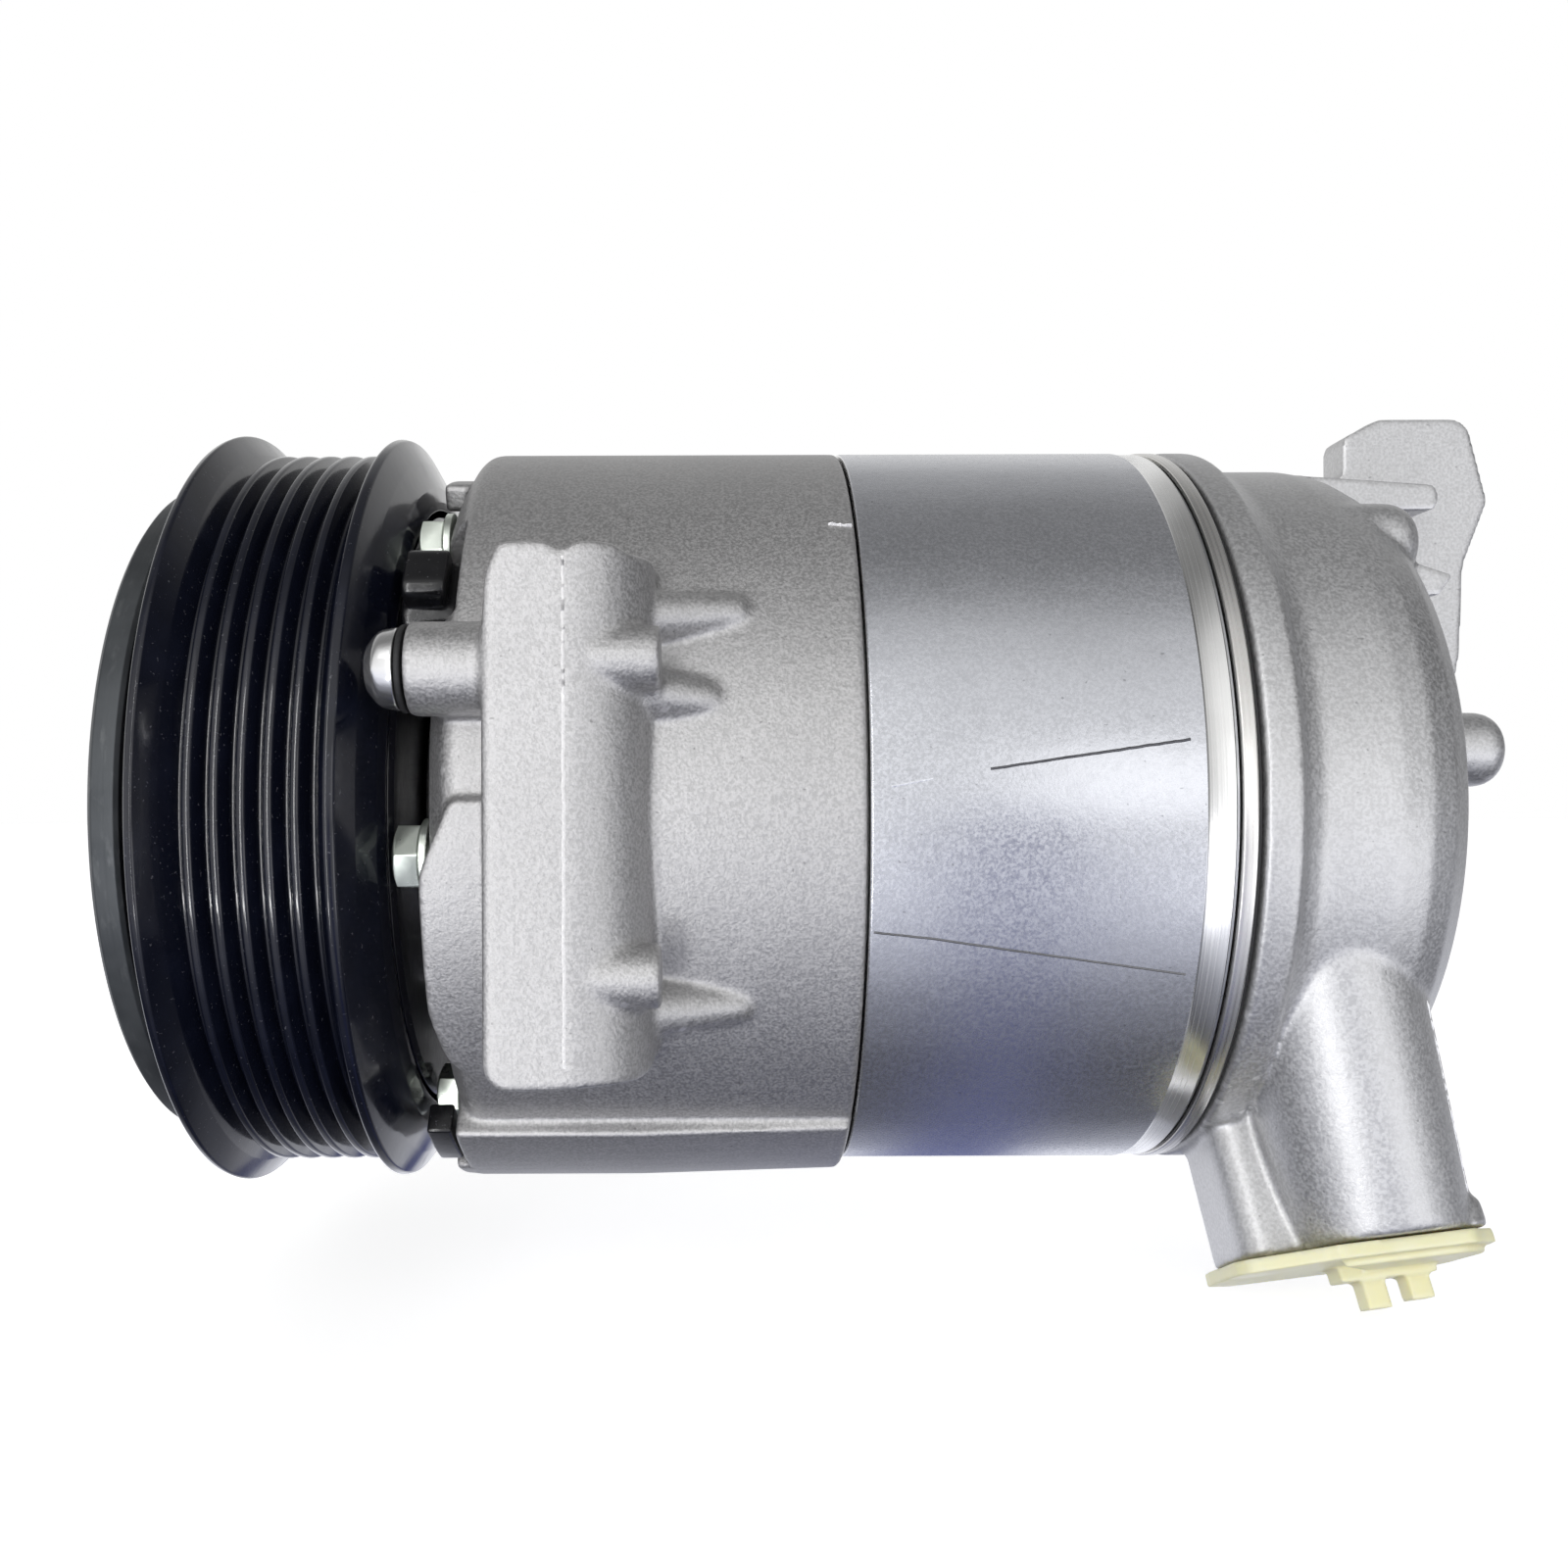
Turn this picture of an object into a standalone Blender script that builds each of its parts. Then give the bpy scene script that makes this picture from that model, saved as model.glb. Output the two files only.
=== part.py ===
"""Automotive air-conditioning compressor: clutch, pulley, case, swash plate, pistons, valve plate and head.

The shaft lies along X. The origin is the flat front end of the shaft, +X runs back towards the rear head,
+Z is up and -Y is the near side, which carries the front mounting bar, the domed plug and the pipe ports.
Lengths are in millimetres in the tables below, and MM turns them into metres where a mesh is made.
Angles round the shaft start at the near side (-Y) and grow towards the top (+Z).
"""
import math

import bmesh
import bpy
from mathutils import Matrix, Vector

MM = 0.001
GAP = 0.3

# Clutch and pulley
ARMATURE_R, ARMATURE_T, ARMATURE_BORE_R = 54.0, 4.5, 30.0
RIVET_CIRCLE_R, RIVET_R = 38.0, 2.0
HUB_FLANGE_R, HUB_SLEEVE_R, HUB_END = 24.0, 11.0, 20.0
PULLEY_FRONT, PULLEY_REAR = 5.0, 40.0
FLANGE_R, CREST_R, GROOVE_R = 62.3, 59.0, 56.2
GROOVES, GROOVE_PITCH, FIRST_GROOVE = 6, 3.56, 13.8
CONNECTOR_ANGLE = 36.0
BALLS, BALL_R, BALL_CIRCLE_R, BALL_X = 8, 3.4, 22.1, 18.85
SNOUT_R, SNOUT_FRONT = 17.2, 4.0

# Case
FACE_X, BODY_R, CHAMBER_R = 46.3, 59.0, 53.2
SEAM_X, BLOCK_END, PLATE_X, PLATE_END, HEAD_X, HEAD_END = 105.0, 153.3, 154.1, 156.2, 157.1, 191.4
HEAD_R, HEAD_CORNER_R = 56.0, 15.0
BOLT_CIRCLE_R, BOLT_R, BOLT_HOLE_R, BOLT_END = 49.5, 3.0, 3.4, 171.0
BOLT_ANGLES = [-8.0 + 60.0 * i for i in range(6)]

# Mounting bars on both sides of the front housing, and the ear on the rear head
BAR_FRONT, BAR_REAR, BAR_TOP, BAR_BOTTOM, BAR_Y = 55.3, 76.9, 33.6, -36.2, 66.2
BAR_HOLE_X, BAR_HOLE_Y, MOUNT_HOLE_R = 66.1, 59.6, 4.2
EAR_X, EAR_Y, EAR_HALF, EAR_TOP, EAR_BOTTOM = 207.0, 5.4, 8.0, 66.2, 52.0

# Relief valve on the end face: its (y, z)
RELIEF_VALVE = (20.0, 14.0)

# Running gear
SHAFT_R, SHAFT_END = 8.0, 126.0
PLATE_CENTRE, SWASH_R, SWASH_HALF, BOSS_R, BOSS_HALF = 88.0, 44.0, 3.0, 19.0, 5.5
PIVOT_R, SLEEVE_HALF = 13.0, 8.0
PISTON_CIRCLE_R, PISTON_R, CYLINDER_R, PISTON_END = 36.0, 15.2, 15.5, 143.0
PISTON_ANGLES = [25.0 + 60.0 * i for i in range(6)]
SHOE_R, POCKET_R = 9.0, 9.6

# Pipe ports: the face's centre, its lean towards the near side and the rear, and the places of its holes.
# The suction barrel stands in front of the head, and the leaning face cuts it off.
PORT_CENTRE = (177.4, -38.5, -64.8)
PORT_LEAN_NEAR, PORT_LEAN_REAR = 25.0, 7.0
SUCTION_PORT, SUCTION_R = (4.2, 0.0), 8.0
DISCHARGE_PORT, DISCHARGE_R = (-11.0, 3.0), 4.6
STUD_HOLE, STUD_HOLE_R = (-4.5, 9.8), 2.5
BARREL_TOP, BARREL_FOOT, BARREL_R = (170.9, -39.3, -16.0), (184.3, -39.3, -80.0), 13.1

WIDE, MIDDLE, SMALL = 32, 20, 12


def clear_scene():
    for obj in list(bpy.data.objects):
        bpy.data.objects.remove(obj, do_unlink=True)


def collection(name):
    new = bpy.data.collections.new(name)
    bpy.context.scene.collection.children.link(new)
    return new


def material(name, colour, roughness, metallic):
    made = bpy.data.materials.new(name)
    made.use_nodes = True
    shader = made.node_tree.nodes["Principled BSDF"]
    shader.inputs["Base Color"].default_value = (*colour, 1.0)
    shader.inputs["Roughness"].default_value = roughness
    shader.inputs["Metallic"].default_value = metallic
    return made


def add(name, mesh, coat=None, location=(0, 0, 0), rotation=(0, 0, 0)):
    """A new object. With a material it is a part; without one it is a hidden tool."""
    obj = bpy.data.objects.new(name, mesh)
    obj.location = [value * MM for value in location]
    obj.rotation_euler = [math.radians(value) for value in rotation]
    if coat:
        PARTS.objects.link(obj)
        if not mesh.materials:
            mesh.materials.append(coat)
    else:
        TOOLS.objects.link(obj)
        obj.hide_render = True
        obj.display_type = "WIRE"
    return obj


def smooth(mesh):
    mesh.shade_smooth()
    mesh.set_sharp_from_angle(angle=math.radians(30))
    return mesh


def bake(obj):
    """The object's mesh with its modifiers applied, in world axes. The object is removed."""
    bpy.context.view_layer.update()
    evaluated = obj.evaluated_get(bpy.context.evaluated_depsgraph_get())
    mesh = bpy.data.meshes.new_from_object(evaluated)
    mesh.transform(obj.matrix_world)
    bpy.data.objects.remove(obj, do_unlink=True)
    return smooth(mesh)


def turned(points, segments):
    """A body turned about X from (x, radius) points: a closed ring, or a solid if it starts and ends on X."""
    doubled_area = sum(r0 * x1 - r1 * x0 for (x0, r0), (x1, r1) in zip(points, points[1:] + points[:1]))
    if doubled_area > 0:
        points = points[::-1]
    shape = bmesh.new()
    row = [shape.verts.new((r * MM, 0, x * MM)) for x, r in points]
    for a, b in zip(row, row[1:]):
        shape.edges.new((a, b))
    if points[0][1] > 0:
        shape.edges.new((row[-1], row[0]))
    mesh = bpy.data.meshes.new("profile")
    shape.to_mesh(mesh)
    shape.free()
    obj = add("profile", mesh, rotation=(0, 90, 0))
    screw = obj.modifiers.new("turn", "SCREW")
    screw.steps = screw.render_steps = segments
    screw.use_merge_vertices = True
    screw.merge_threshold = 0.00001
    return bake(obj)


def ring(x0, x1, r0, r1):
    return [(x0, r0), (x0, r1), (x1, r1), (x1, r0)]


def disc(x0, x1, r):
    return [(x0, 0), (x0, r), (x1, r), (x1, 0)]


def rod(start, end, radius, segments=SMALL, end_radius=None):
    """A straight cylinder, or a cone, between two points."""
    start, end = Vector(start) * MM, Vector(end) * MM
    shape = bmesh.new()
    bmesh.ops.create_cone(shape, cap_ends=True, segments=segments, radius1=radius * MM,
                          radius2=(radius if end_radius is None else end_radius) * MM,
                          depth=(end - start).length)
    turn = Vector((0, 0, 1)).rotation_difference(end - start).to_matrix().to_4x4()
    shape.transform(Matrix.Translation((start + end) / 2) @ turn)
    return from_bmesh(shape)


def box(low, high):
    shape = bmesh.new()
    bmesh.ops.create_cube(shape, size=1)
    size = [(b - a) * MM for a, b in zip(low, high)]
    centre = [(a + b) / 2 * MM for a, b in zip(low, high)]
    shape.transform(Matrix.Translation(centre) @ Matrix.Diagonal((*size, 1)))
    return from_bmesh(shape)


def ball(centre, radius, segments, rings):
    shape = bmesh.new()
    bmesh.ops.create_uvsphere(shape, u_segments=segments, v_segments=rings, radius=radius * MM)
    shape.transform(Matrix.Translation(Vector(centre) * MM))
    return from_bmesh(shape)


def prism(outline, low, high, axis, end_scale=1.0):
    """A flat outline pushed along an axis: (x, y) points for Z, (x, z) for Y and (y, z) for X."""
    orders = {"Z": (0, 1, 2), "Y": (0, 2, 1), "X": (2, 0, 1)}

    def place(*values):
        return [values[i] for i in orders[axis]]

    shape = bmesh.new()
    face = shape.faces.new([shape.verts.new(Vector(place(a, b, low)) * MM) for a, b in outline])
    pushed = bmesh.ops.extrude_face_region(shape, geom=[face])
    corners = [item for item in pushed["geom"] if isinstance(item, bmesh.types.BMVert)]
    bmesh.ops.scale(shape, verts=corners, vec=Vector(place(end_scale, end_scale, 1.0)))
    bmesh.ops.translate(shape, verts=corners, vec=Vector(place(0, 0, high - low)) * MM)
    bmesh.ops.recalc_face_normals(shape, faces=shape.faces)
    return from_bmesh(shape)


def from_bmesh(shape):
    mesh = bpy.data.meshes.new("shape")
    shape.to_mesh(mesh)
    shape.free()
    return smooth(mesh)


def rounded(corners, steps=4):
    """An outline from (a, b, radius) corners, each rounded by its radius."""
    outline = []
    for i, (a, b, radius) in enumerate(corners):
        here = Vector((a, b))
        back = (Vector(corners[i - 1][:2]) - here).normalized()
        ahead = (Vector(corners[(i + 1) % len(corners)][:2]) - here).normalized()
        if radius == 0:
            outline.append((a, b))
            continue
        half = back.angle(ahead) / 2
        centre = here + (back + ahead).normalized() * (radius / math.sin(half))
        first = here + back * (radius / math.tan(half)) - centre
        last = here + ahead * (radius / math.tan(half)) - centre
        sweep = first.angle_signed(last)
        for step in range(steps + 1):
            turn = -sweep * step / steps
            point = centre + Matrix.Rotation(turn, 2) @ first
            outline.append((point.x, point.y))
    return outline


def combine(target, operation, *meshes, matrix=None):
    """Cuts or joins each mesh, as a hidden tool object, with the target."""
    for mesh in meshes:
        tool = add(target.name + "_tool", mesh)
        if matrix:
            tool.matrix_world = matrix
        modifier = target.modifiers.new(operation.lower(), "BOOLEAN")
        modifier.operation = operation
        modifier.object = tool


def round_the_shaft(radius, angle):
    """The (y, z) of a point at this radius and angle."""
    return -radius * math.cos(math.radians(angle)), radius * math.sin(math.radians(angle))


def arc_band(r0, r1, first, last, steps):
    """An outline in (y, z) between two radii and two angles."""
    angles = [first + (last - first) * i / steps for i in range(steps + 1)]
    return [round_the_shaft(r1, a) for a in angles] + [round_the_shaft(r0, a) for a in reversed(angles)]


def bolt_holes(low, high):
    places = [round_the_shaft(BOLT_CIRCLE_R, angle) for angle in BOLT_ANGLES]
    return [rod((low, y, z), (high, y, z), BOLT_HOLE_R, 8) for y, z in places]


def valve_ports(low, high, circle, radius):
    places = [round_the_shaft(circle, angle) for angle in PISTON_ANGLES]
    return [rod((low, y, z), (high, y, z), radius, 6) for y, z in places]


def port_frame():
    lean = Matrix.Rotation(math.radians(-PORT_LEAN_REAR), 4, "Y") @ Matrix.Rotation(
        math.radians(-PORT_LEAN_NEAR), 4, "X")
    return Matrix.Translation(Vector(PORT_CENTRE) * MM) @ lean


def pulley_profile():
    front = [(PULLEY_FRONT, 25.2), (PULLEY_FRONT, 53.0), (5.6, 54.6), (7.4, 57.6), (8.5, 61.6),
             (9.1, FLANGE_R), (9.9, 62.0), (12.0, CREST_R)]
    grooves = []
    for i in range(GROOVES):
        middle = FIRST_GROOVE + i * GROOVE_PITCH
        grooves += [(middle, GROOVE_R), (middle + GROOVE_PITCH / 2, CREST_R)]
    rear = [(34.6, 61.6), (35.4, 61.2), (37.5, 58.0), (39.4, 54.0), (PULLEY_REAR, 51.6), (PULLEY_REAR, 50.2)]
    cavity = [(13.0, 50.2), (9.5, 48.0), (9.5, 32.5), (11.0, 30.3), (33.0, 30.3), (33.0, 27.3),
              (7.4, 27.3), (7.4, 25.2)]
    return front + grooves + rear + cavity


def clutch():
    rivet_places = [round_the_shaft(RIVET_CIRCLE_R, 90 + 120 * i) for i in range(3)]
    plate = add("armature_plate", turned([
        (0, ARMATURE_BORE_R), (0, 53.0), (0.8, 53.8), (3.9, ARMATURE_R), (ARMATURE_T, 53.4),
        (ARMATURE_T, ARMATURE_BORE_R)], WIDE), FRICTION_STEEL)
    combine(plate, "UNION", *[rod((-2.4, y, z), (2.0, y, z), RIVET_R, 12) for y, z in rivet_places])

    outline = []
    for i in range(36):
        angle = math.radians(10 * i)
        reach = 22.0 + 22.0 * (0.5 + 0.5 * math.cos(3 * (angle - math.pi / 2))) ** 3
        outline.append((-reach * math.cos(angle), reach * math.sin(angle)))
    spring = add("spring_plate", prism(outline, -1.4, -0.6, "X"), SPRING_STEEL)
    combine(spring, "DIFFERENCE", rod((-3, 0, 0), (1, 0, 0), HUB_SLEEVE_R + GAP, MIDDLE),
            *[rod((-3, y, z), (1, y, z), RIVET_R + 0.5, 12) for y, z in rivet_places])

    add("clutch_hub", turned([
        (-4.2, 9.6), (-4.2, 23.2), (-3.6, HUB_FLANGE_R), (-1.7, HUB_FLANGE_R), (-1.7, HUB_SLEEVE_R),
        (HUB_END, HUB_SLEEVE_R), (HUB_END, 6.9), (6.8, 6.9), (6.8, 9.6)], MIDDLE), CLUTCH_STEEL)
    nut = add("shaft_nut", rod((1.0, 0, 0), (6.4, 0, 0), 7.5, 6), ZINC)
    combine(nut, "DIFFERENCE", rod((0, 0, 0), (8, 0, 0), 5.4, SMALL))


def pulley_and_bearing():
    add("pulley", turned(pulley_profile(), WIDE), PULLEY_BLACK)
    add("bearing_outer_race", turned([
        (7.7, 24.3), (7.7, 27.0), (30.1, 27.0), (30.1, 24.3), (21.8, 24.3), (20.3, 25.6), (17.4, 25.6),
        (15.9, 24.3)], MIDDLE + 8), BEARING_STEEL)
    add("bearing_inner_race", turned([
        (7.7, 17.55), (7.7, 19.9), (15.9, 19.9), (17.4, 18.6), (20.3, 18.6), (21.8, 19.9), (30.1, 19.9),
        (30.1, 17.55)], MIDDLE), BEARING_STEEL)
    cage = add("bearing_ball_cage", turned(ring(17.5, 20.2, 21.3, 22.9), SMALL), BEARING_STEEL)
    for i in range(BALLS):
        y, z = round_the_shaft(BALL_CIRCLE_R, 360 / BALLS * i)
        combine(cage, "UNION", ball((BALL_X, y, z), BALL_R, 6, 5))
    clips = (("pulley_snap_ring", 30.5, 24.6, 26.9), ("snout_snap_ring", 5.9, 16.2, 19.4),
             ("coil_snap_ring", 36.9, 16.2, 20.0))
    for name, x, inner, outer in clips:
        clip = add(name, turned(ring(x, x + 1.2, inner, outer), MIDDLE), SPRING_STEEL)
        combine(clip, "DIFFERENCE", box((x - 1, -2.5, 10), (x + 2.2, 2.5, 30)))


def coil():
    add("coil_can", turned([
        (12.6, 46.4), (12.6, 49.2), (39.8, 49.2), (40.5, 48.5), (40.5, 17.6), (38.4, 17.6), (38.4, 30.9),
        (12.6, 30.9), (12.6, 33.0), (38.0, 33.0), (38.0, 46.4)], MIDDLE + 8), COIL_BLACK)
    add("coil_winding", turned(ring(14.0, 37.7, 33.4, 45.9), MIDDLE + 8), COPPER)
    outline = rounded([(-6.5, 45.5, 1), (6.5, 45.5, 1), (6.5, 57.5, 4), (-6.5, 57.5, 4)])
    connector = prism(outline, 40.8, 49.2, "X")
    add("coil_connector", connector, BLACK_PLASTIC, rotation=(90 - CONNECTOR_ANGLE, 0, 0))


def snout_groove(x):
    return [(x, SNOUT_R), (x, 15.9), (x + 1.7, 15.9), (x + 1.7, SNOUT_R)]


def bar(side):
    """A mounting bar on the near (-1) or far (+1) side, with a bolt hole down its length."""
    corners = [(BAR_FRONT, 45.0, 0), (BAR_FRONT, BAR_Y, 1.5), (BAR_REAR, BAR_Y, 10.7), (BAR_REAR, 45.0, 0)]
    outline = [(x, y * side) for x, y in rounded(corners, 6)]
    return prism(outline, BAR_BOTTOM, BAR_TOP, "Z")


def front_housing():
    outside = ([(SNOUT_FRONT, 0), (SNOUT_FRONT, 16.6), (4.6, SNOUT_R)] + snout_groove(5.6)
               + snout_groove(36.6) + [(40.8, SNOUT_R), (40.8, 29.0), (FACE_X, 29.6), (FACE_X, 52.5),
               (47.0, 56.2), (49.6, BODY_R), (SEAM_X, BODY_R), (SEAM_X, 0)])
    inside = [(3, 0), (3, 14.0), (40.0, 14.0), (40.0, 9.5), (44.5, 9.5), (44.5, 12.3), (60.0, 12.3),
              (60.0, 51.0), (62.5, CHAMBER_R), (SEAM_X + 1, CHAMBER_R), (SEAM_X + 1, 0)]
    housing = add("front_housing", turned(outside, WIDE), CAST_ALUMINIUM)
    lip = prism(arc_band(50.7, 55.0, 68, 104, 6), 42.3, 50.5, "X")
    band_outline = arc_band(55.0, 61.6, -129, -51, 10)
    band = prism(band_outline, 46.9, 73.0, "X")
    band_taper = prism(band_outline, 73.0, 104.2, "X", end_scale=59.3 / 61.6)
    combine(housing, "UNION", bar(-1), bar(1), lip, band, band_taper)

    plug_y, plug_z = -59.2, 18.0
    combine(housing, "UNION", rod((45.2, plug_y, plug_z), (60, plug_y, plug_z), 6.2))
    for z in (19.1, -21.9):
        combine(housing, "UNION", rod((66, -61.8, z), (78, -61.8, z), 4.2, 12))
    fingers = (((74, -56.0, 25.2), (90, -52.6, 26.2), 3.0), ((74, -59.0, 15.6), (86, -56.6, 13.9), 3.0),
               ((74, -55.4, -27.8), (90, -51.8, -26.8), 3.8))
    for root, tip, radius in fingers:
        combine(housing, "UNION", rod(root, tip, radius, 12, end_radius=1.8))

    bar_holes = [rod((BAR_HOLE_X, y, -60), (BAR_HOLE_X, y, 60), MOUNT_HOLE_R)
                 for y in (-BAR_HOLE_Y, BAR_HOLE_Y)]
    plug_hole = rod((42, plug_y, plug_z), (53, plug_y, plug_z), 3.3, 12)
    notch_outline = arc_band(45.0, 62.0, CONNECTOR_ANGLE - 9, CONNECTOR_ANGLE + 9, 3)
    connector_notch = prism(notch_outline, 45.0, 49.6, "X")
    combine(housing, "DIFFERENCE", turned(inside, WIDE), *bolt_holes(40, 64), *bar_holes, plug_hole,
            connector_notch)

    dome = [(39.6, 0), (39.8, 2.4), (40.6, 4.1), (41.9, 5.2), (43.9, 5.5), (43.9, 2.9), (52.0, 2.9),
            (52.0, 0)]
    add("domed_plug", turned(dome, SMALL), BRIGHT_STEEL, location=(0, plug_y, plug_z))
    add("plug_seal_ring", turned(ring(44.1, 44.9, 3.3, 5.8), SMALL), RUBBER, location=(0, plug_y, plug_z))


def shaft_assembly():
    add("drive_shaft", turned([
        (0, 0), (0, 4.6), (0.5, 5.0), (7.1, 5.0), (7.1, 6.6), (21.0, 6.6), (22.5, SHAFT_R),
        (125.0, SHAFT_R), (SHAFT_END, 7.2), (SHAFT_END, 0)], MIDDLE), BRIGHT_STEEL)
    add("shaft_seal", turned([
        (30.0, 11.0), (30.0, 13.7), (39.7, 13.7), (39.7, 9.8), (38.5, 8.35), (36.5, 8.35), (36.0, 11.0)],
        MIDDLE), RUBBER)
    add("front_needle_bearing", turned(ring(44.9, 59.6, 8.35, 12.0), MIDDLE), BEARING_STEEL)
    add("thrust_bearing", turned(ring(60.4, 63.8, 12.0, 24.0), MIDDLE), BEARING_STEEL)
    add("rear_needle_bearing", turned(ring(107.0, 121.0, 8.35, 12.0), MIDDLE), BEARING_STEEL)

    rotor = add("lug_rotor", turned(ring(64.2, 70.0, 8.3, 26.0), MIDDLE), CLUTCH_STEEL)
    combine(rotor, "UNION", box((68, 5.5, 15), (76, 9.5, 23)), box((68, -9.5, 15), (76, -5.5, 23)))

    sleeve = [(-SLEEVE_HALF, 8.3)]
    for x in (-SLEEVE_HALF, -5.5, -2.7, 0.0, 2.7, 5.5, SLEEVE_HALF):
        sleeve.append((x, math.sqrt(PIVOT_R ** 2 - x ** 2)))
    sleeve.append((SLEEVE_HALF, 8.3))
    add("pivot_sleeve", turned(sleeve, MIDDLE), BRONZE, location=(PLATE_CENTRE, 0, 0))

    bore_r = PIVOT_R + GAP
    disc_side = [(-BOSS_HALF, BOSS_R), (-SWASH_HALF, BOSS_R + 1.5), (-SWASH_HALF, SWASH_R)]
    bore = [(x, math.sqrt(bore_r ** 2 - x ** 2)) for x in (BOSS_HALF, 3.3, 1.1, -1.1, -3.3, -BOSS_HALF)]
    profile = disc_side + [(-x, r) for x, r in disc_side[::-1]] + bore
    plate = add("swash_plate", turned(profile, MIDDLE + 8), BRONZE, location=(PLATE_CENTRE, 0, 0))
    pin_x, pin_z = PLATE_CENTRE - 8.0, 19.0
    combine(plate, "UNION", box((PLATE_CENTRE - 11, -4, 15), (PLATE_CENTRE - 2, 4, 23)))
    combine(plate, "DIFFERENCE", rod((pin_x, -12, pin_z), (pin_x, 12, pin_z), 2.5, 12))
    pin = rod((pin_x - PLATE_CENTRE, -9, pin_z), (pin_x - PLATE_CENTRE, 9, pin_z), 2.15, 12)
    add("guide_pin", pin, BRIGHT_STEEL, location=(PLATE_CENTRE, 0, 0))
    destroke_spring()


def destroke_spring():
    start, end, mean_r, wire_r, turns, per_turn = 71.2, 78.9, 9.2, 0.6, 3, 10
    curve = bpy.data.curves.new("spring_wire", "CURVE")
    curve.dimensions = "3D"
    curve.bevel_depth = wire_r * MM
    curve.bevel_resolution = 1
    curve.use_fill_caps = True
    line = curve.splines.new("POLY")
    count = turns * per_turn
    line.points.add(count)
    for i, point in enumerate(line.points):
        angle = 2 * math.pi * i / per_turn
        x = start + (end - start) * i / count
        point.co = (x * MM, mean_r * math.cos(angle) * MM, mean_r * math.sin(angle) * MM, 1)
    wire = bpy.data.objects.new("spring_wire", curve)
    TOOLS.objects.link(wire)
    mesh = bake(wire)
    shape = bmesh.new()
    shape.from_mesh(mesh)
    bmesh.ops.remove_doubles(shape, verts=shape.verts, dist=0.00001)
    add("destroke_spring", from_bmesh(shape), SPRING_STEEL)


def pistons():
    """Each piston is a cylinder with a notch that straddles the swash plate's rim and two half-ball shoes."""
    master = add("piston_master", turned(disc(12.0, PISTON_END - PLATE_CENTRE, PISTON_R), 20), PISTON_ALLOY)
    combine(master, "UNION", box((-12.3, -9.0, -9.3), (13.3, 9.0, 11.9)))
    combine(master, "DIFFERENCE", box((-7.0, -20, -20), (7.0, 20, 9.4)), ball((0, 0, 0), POCKET_R, SMALL, 8))
    piston = bake(master)
    flat = SWASH_HALF + GAP
    shoe_profile = [(flat, 0)]
    for x in (flat, 6.0, 7.9, 8.7):
        shoe_profile.append((x, math.sqrt(SHOE_R ** 2 - x ** 2)))
    shoe_profile.append((8.7, 0))
    rear_shoe = turned(shoe_profile, 10)
    front_shoe = turned([(-x, r) for x, r in shoe_profile], 10)
    for i, angle in enumerate(PISTON_ANGLES, start=1):
        y, z = round_the_shaft(PISTON_CIRCLE_R, angle)
        place = {"location": (PLATE_CENTRE, y, z), "rotation": (90 - angle, 0, 0)}
        add("piston_%d" % i, piston, PISTON_ALLOY, **place)
        add("shoe_front_%d" % i, front_shoe, BRIGHT_STEEL, **place)
        add("shoe_rear_%d" % i, rear_shoe, BRIGHT_STEEL, **place)


def block_and_valves():
    block = add("cylinder_block", turned([
        (SEAM_X + GAP, 0), (SEAM_X + GAP, 58.7), (105.6, BODY_R), (149.5, BODY_R), (149.8, 58.8),
        (BLOCK_END, 58.8), (BLOCK_END, 0)], WIDE), CAST_ALUMINIUM)
    cylinders = []
    for angle in PISTON_ANGLES:
        y, z = round_the_shaft(PISTON_CIRCLE_R, angle)
        cylinders.append(rod((104, y, z), (155, y, z), CYLINDER_R, 20))
    turn = Matrix.Rotation(math.radians(3), 4, "X")
    combine(block, "DIFFERENCE", turned(ring(104.5, 107.7, 54.8, 57.4), MIDDLE + 8), matrix=turn)
    shaft_bore = rod((104, 0, 0), (130, 0, 0), 12.3, MIDDLE)
    combine(block, "DIFFERENCE", shaft_bore, *cylinders, *bolt_holes(104, 155))
    o_ring = turned(ring(105.5, 107.4, 55.2, 57.0), MIDDLE + 8)
    add("body_o_ring", o_ring, RUBBER, rotation=(3, 0, 0))

    reed = add("suction_reed_plate", turned(disc(153.55, 153.85, 58.2), WIDE), SPRING_STEEL)
    plate = add("valve_plate", turned(disc(PLATE_X, PLATE_END, BODY_R), WIDE), MACHINED_STEEL)
    gasket = add("head_gasket", turned(ring(156.5, 156.8, 31.5, 58.2), WIDE), RUBBER)
    combine(gasket, "DIFFERENCE", *bolt_holes(155, 158))
    for sheet in (reed, plate):
        combine(sheet, "DIFFERENCE", *bolt_holes(153, 158), *valve_ports(153, 158, 26, 3))


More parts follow.
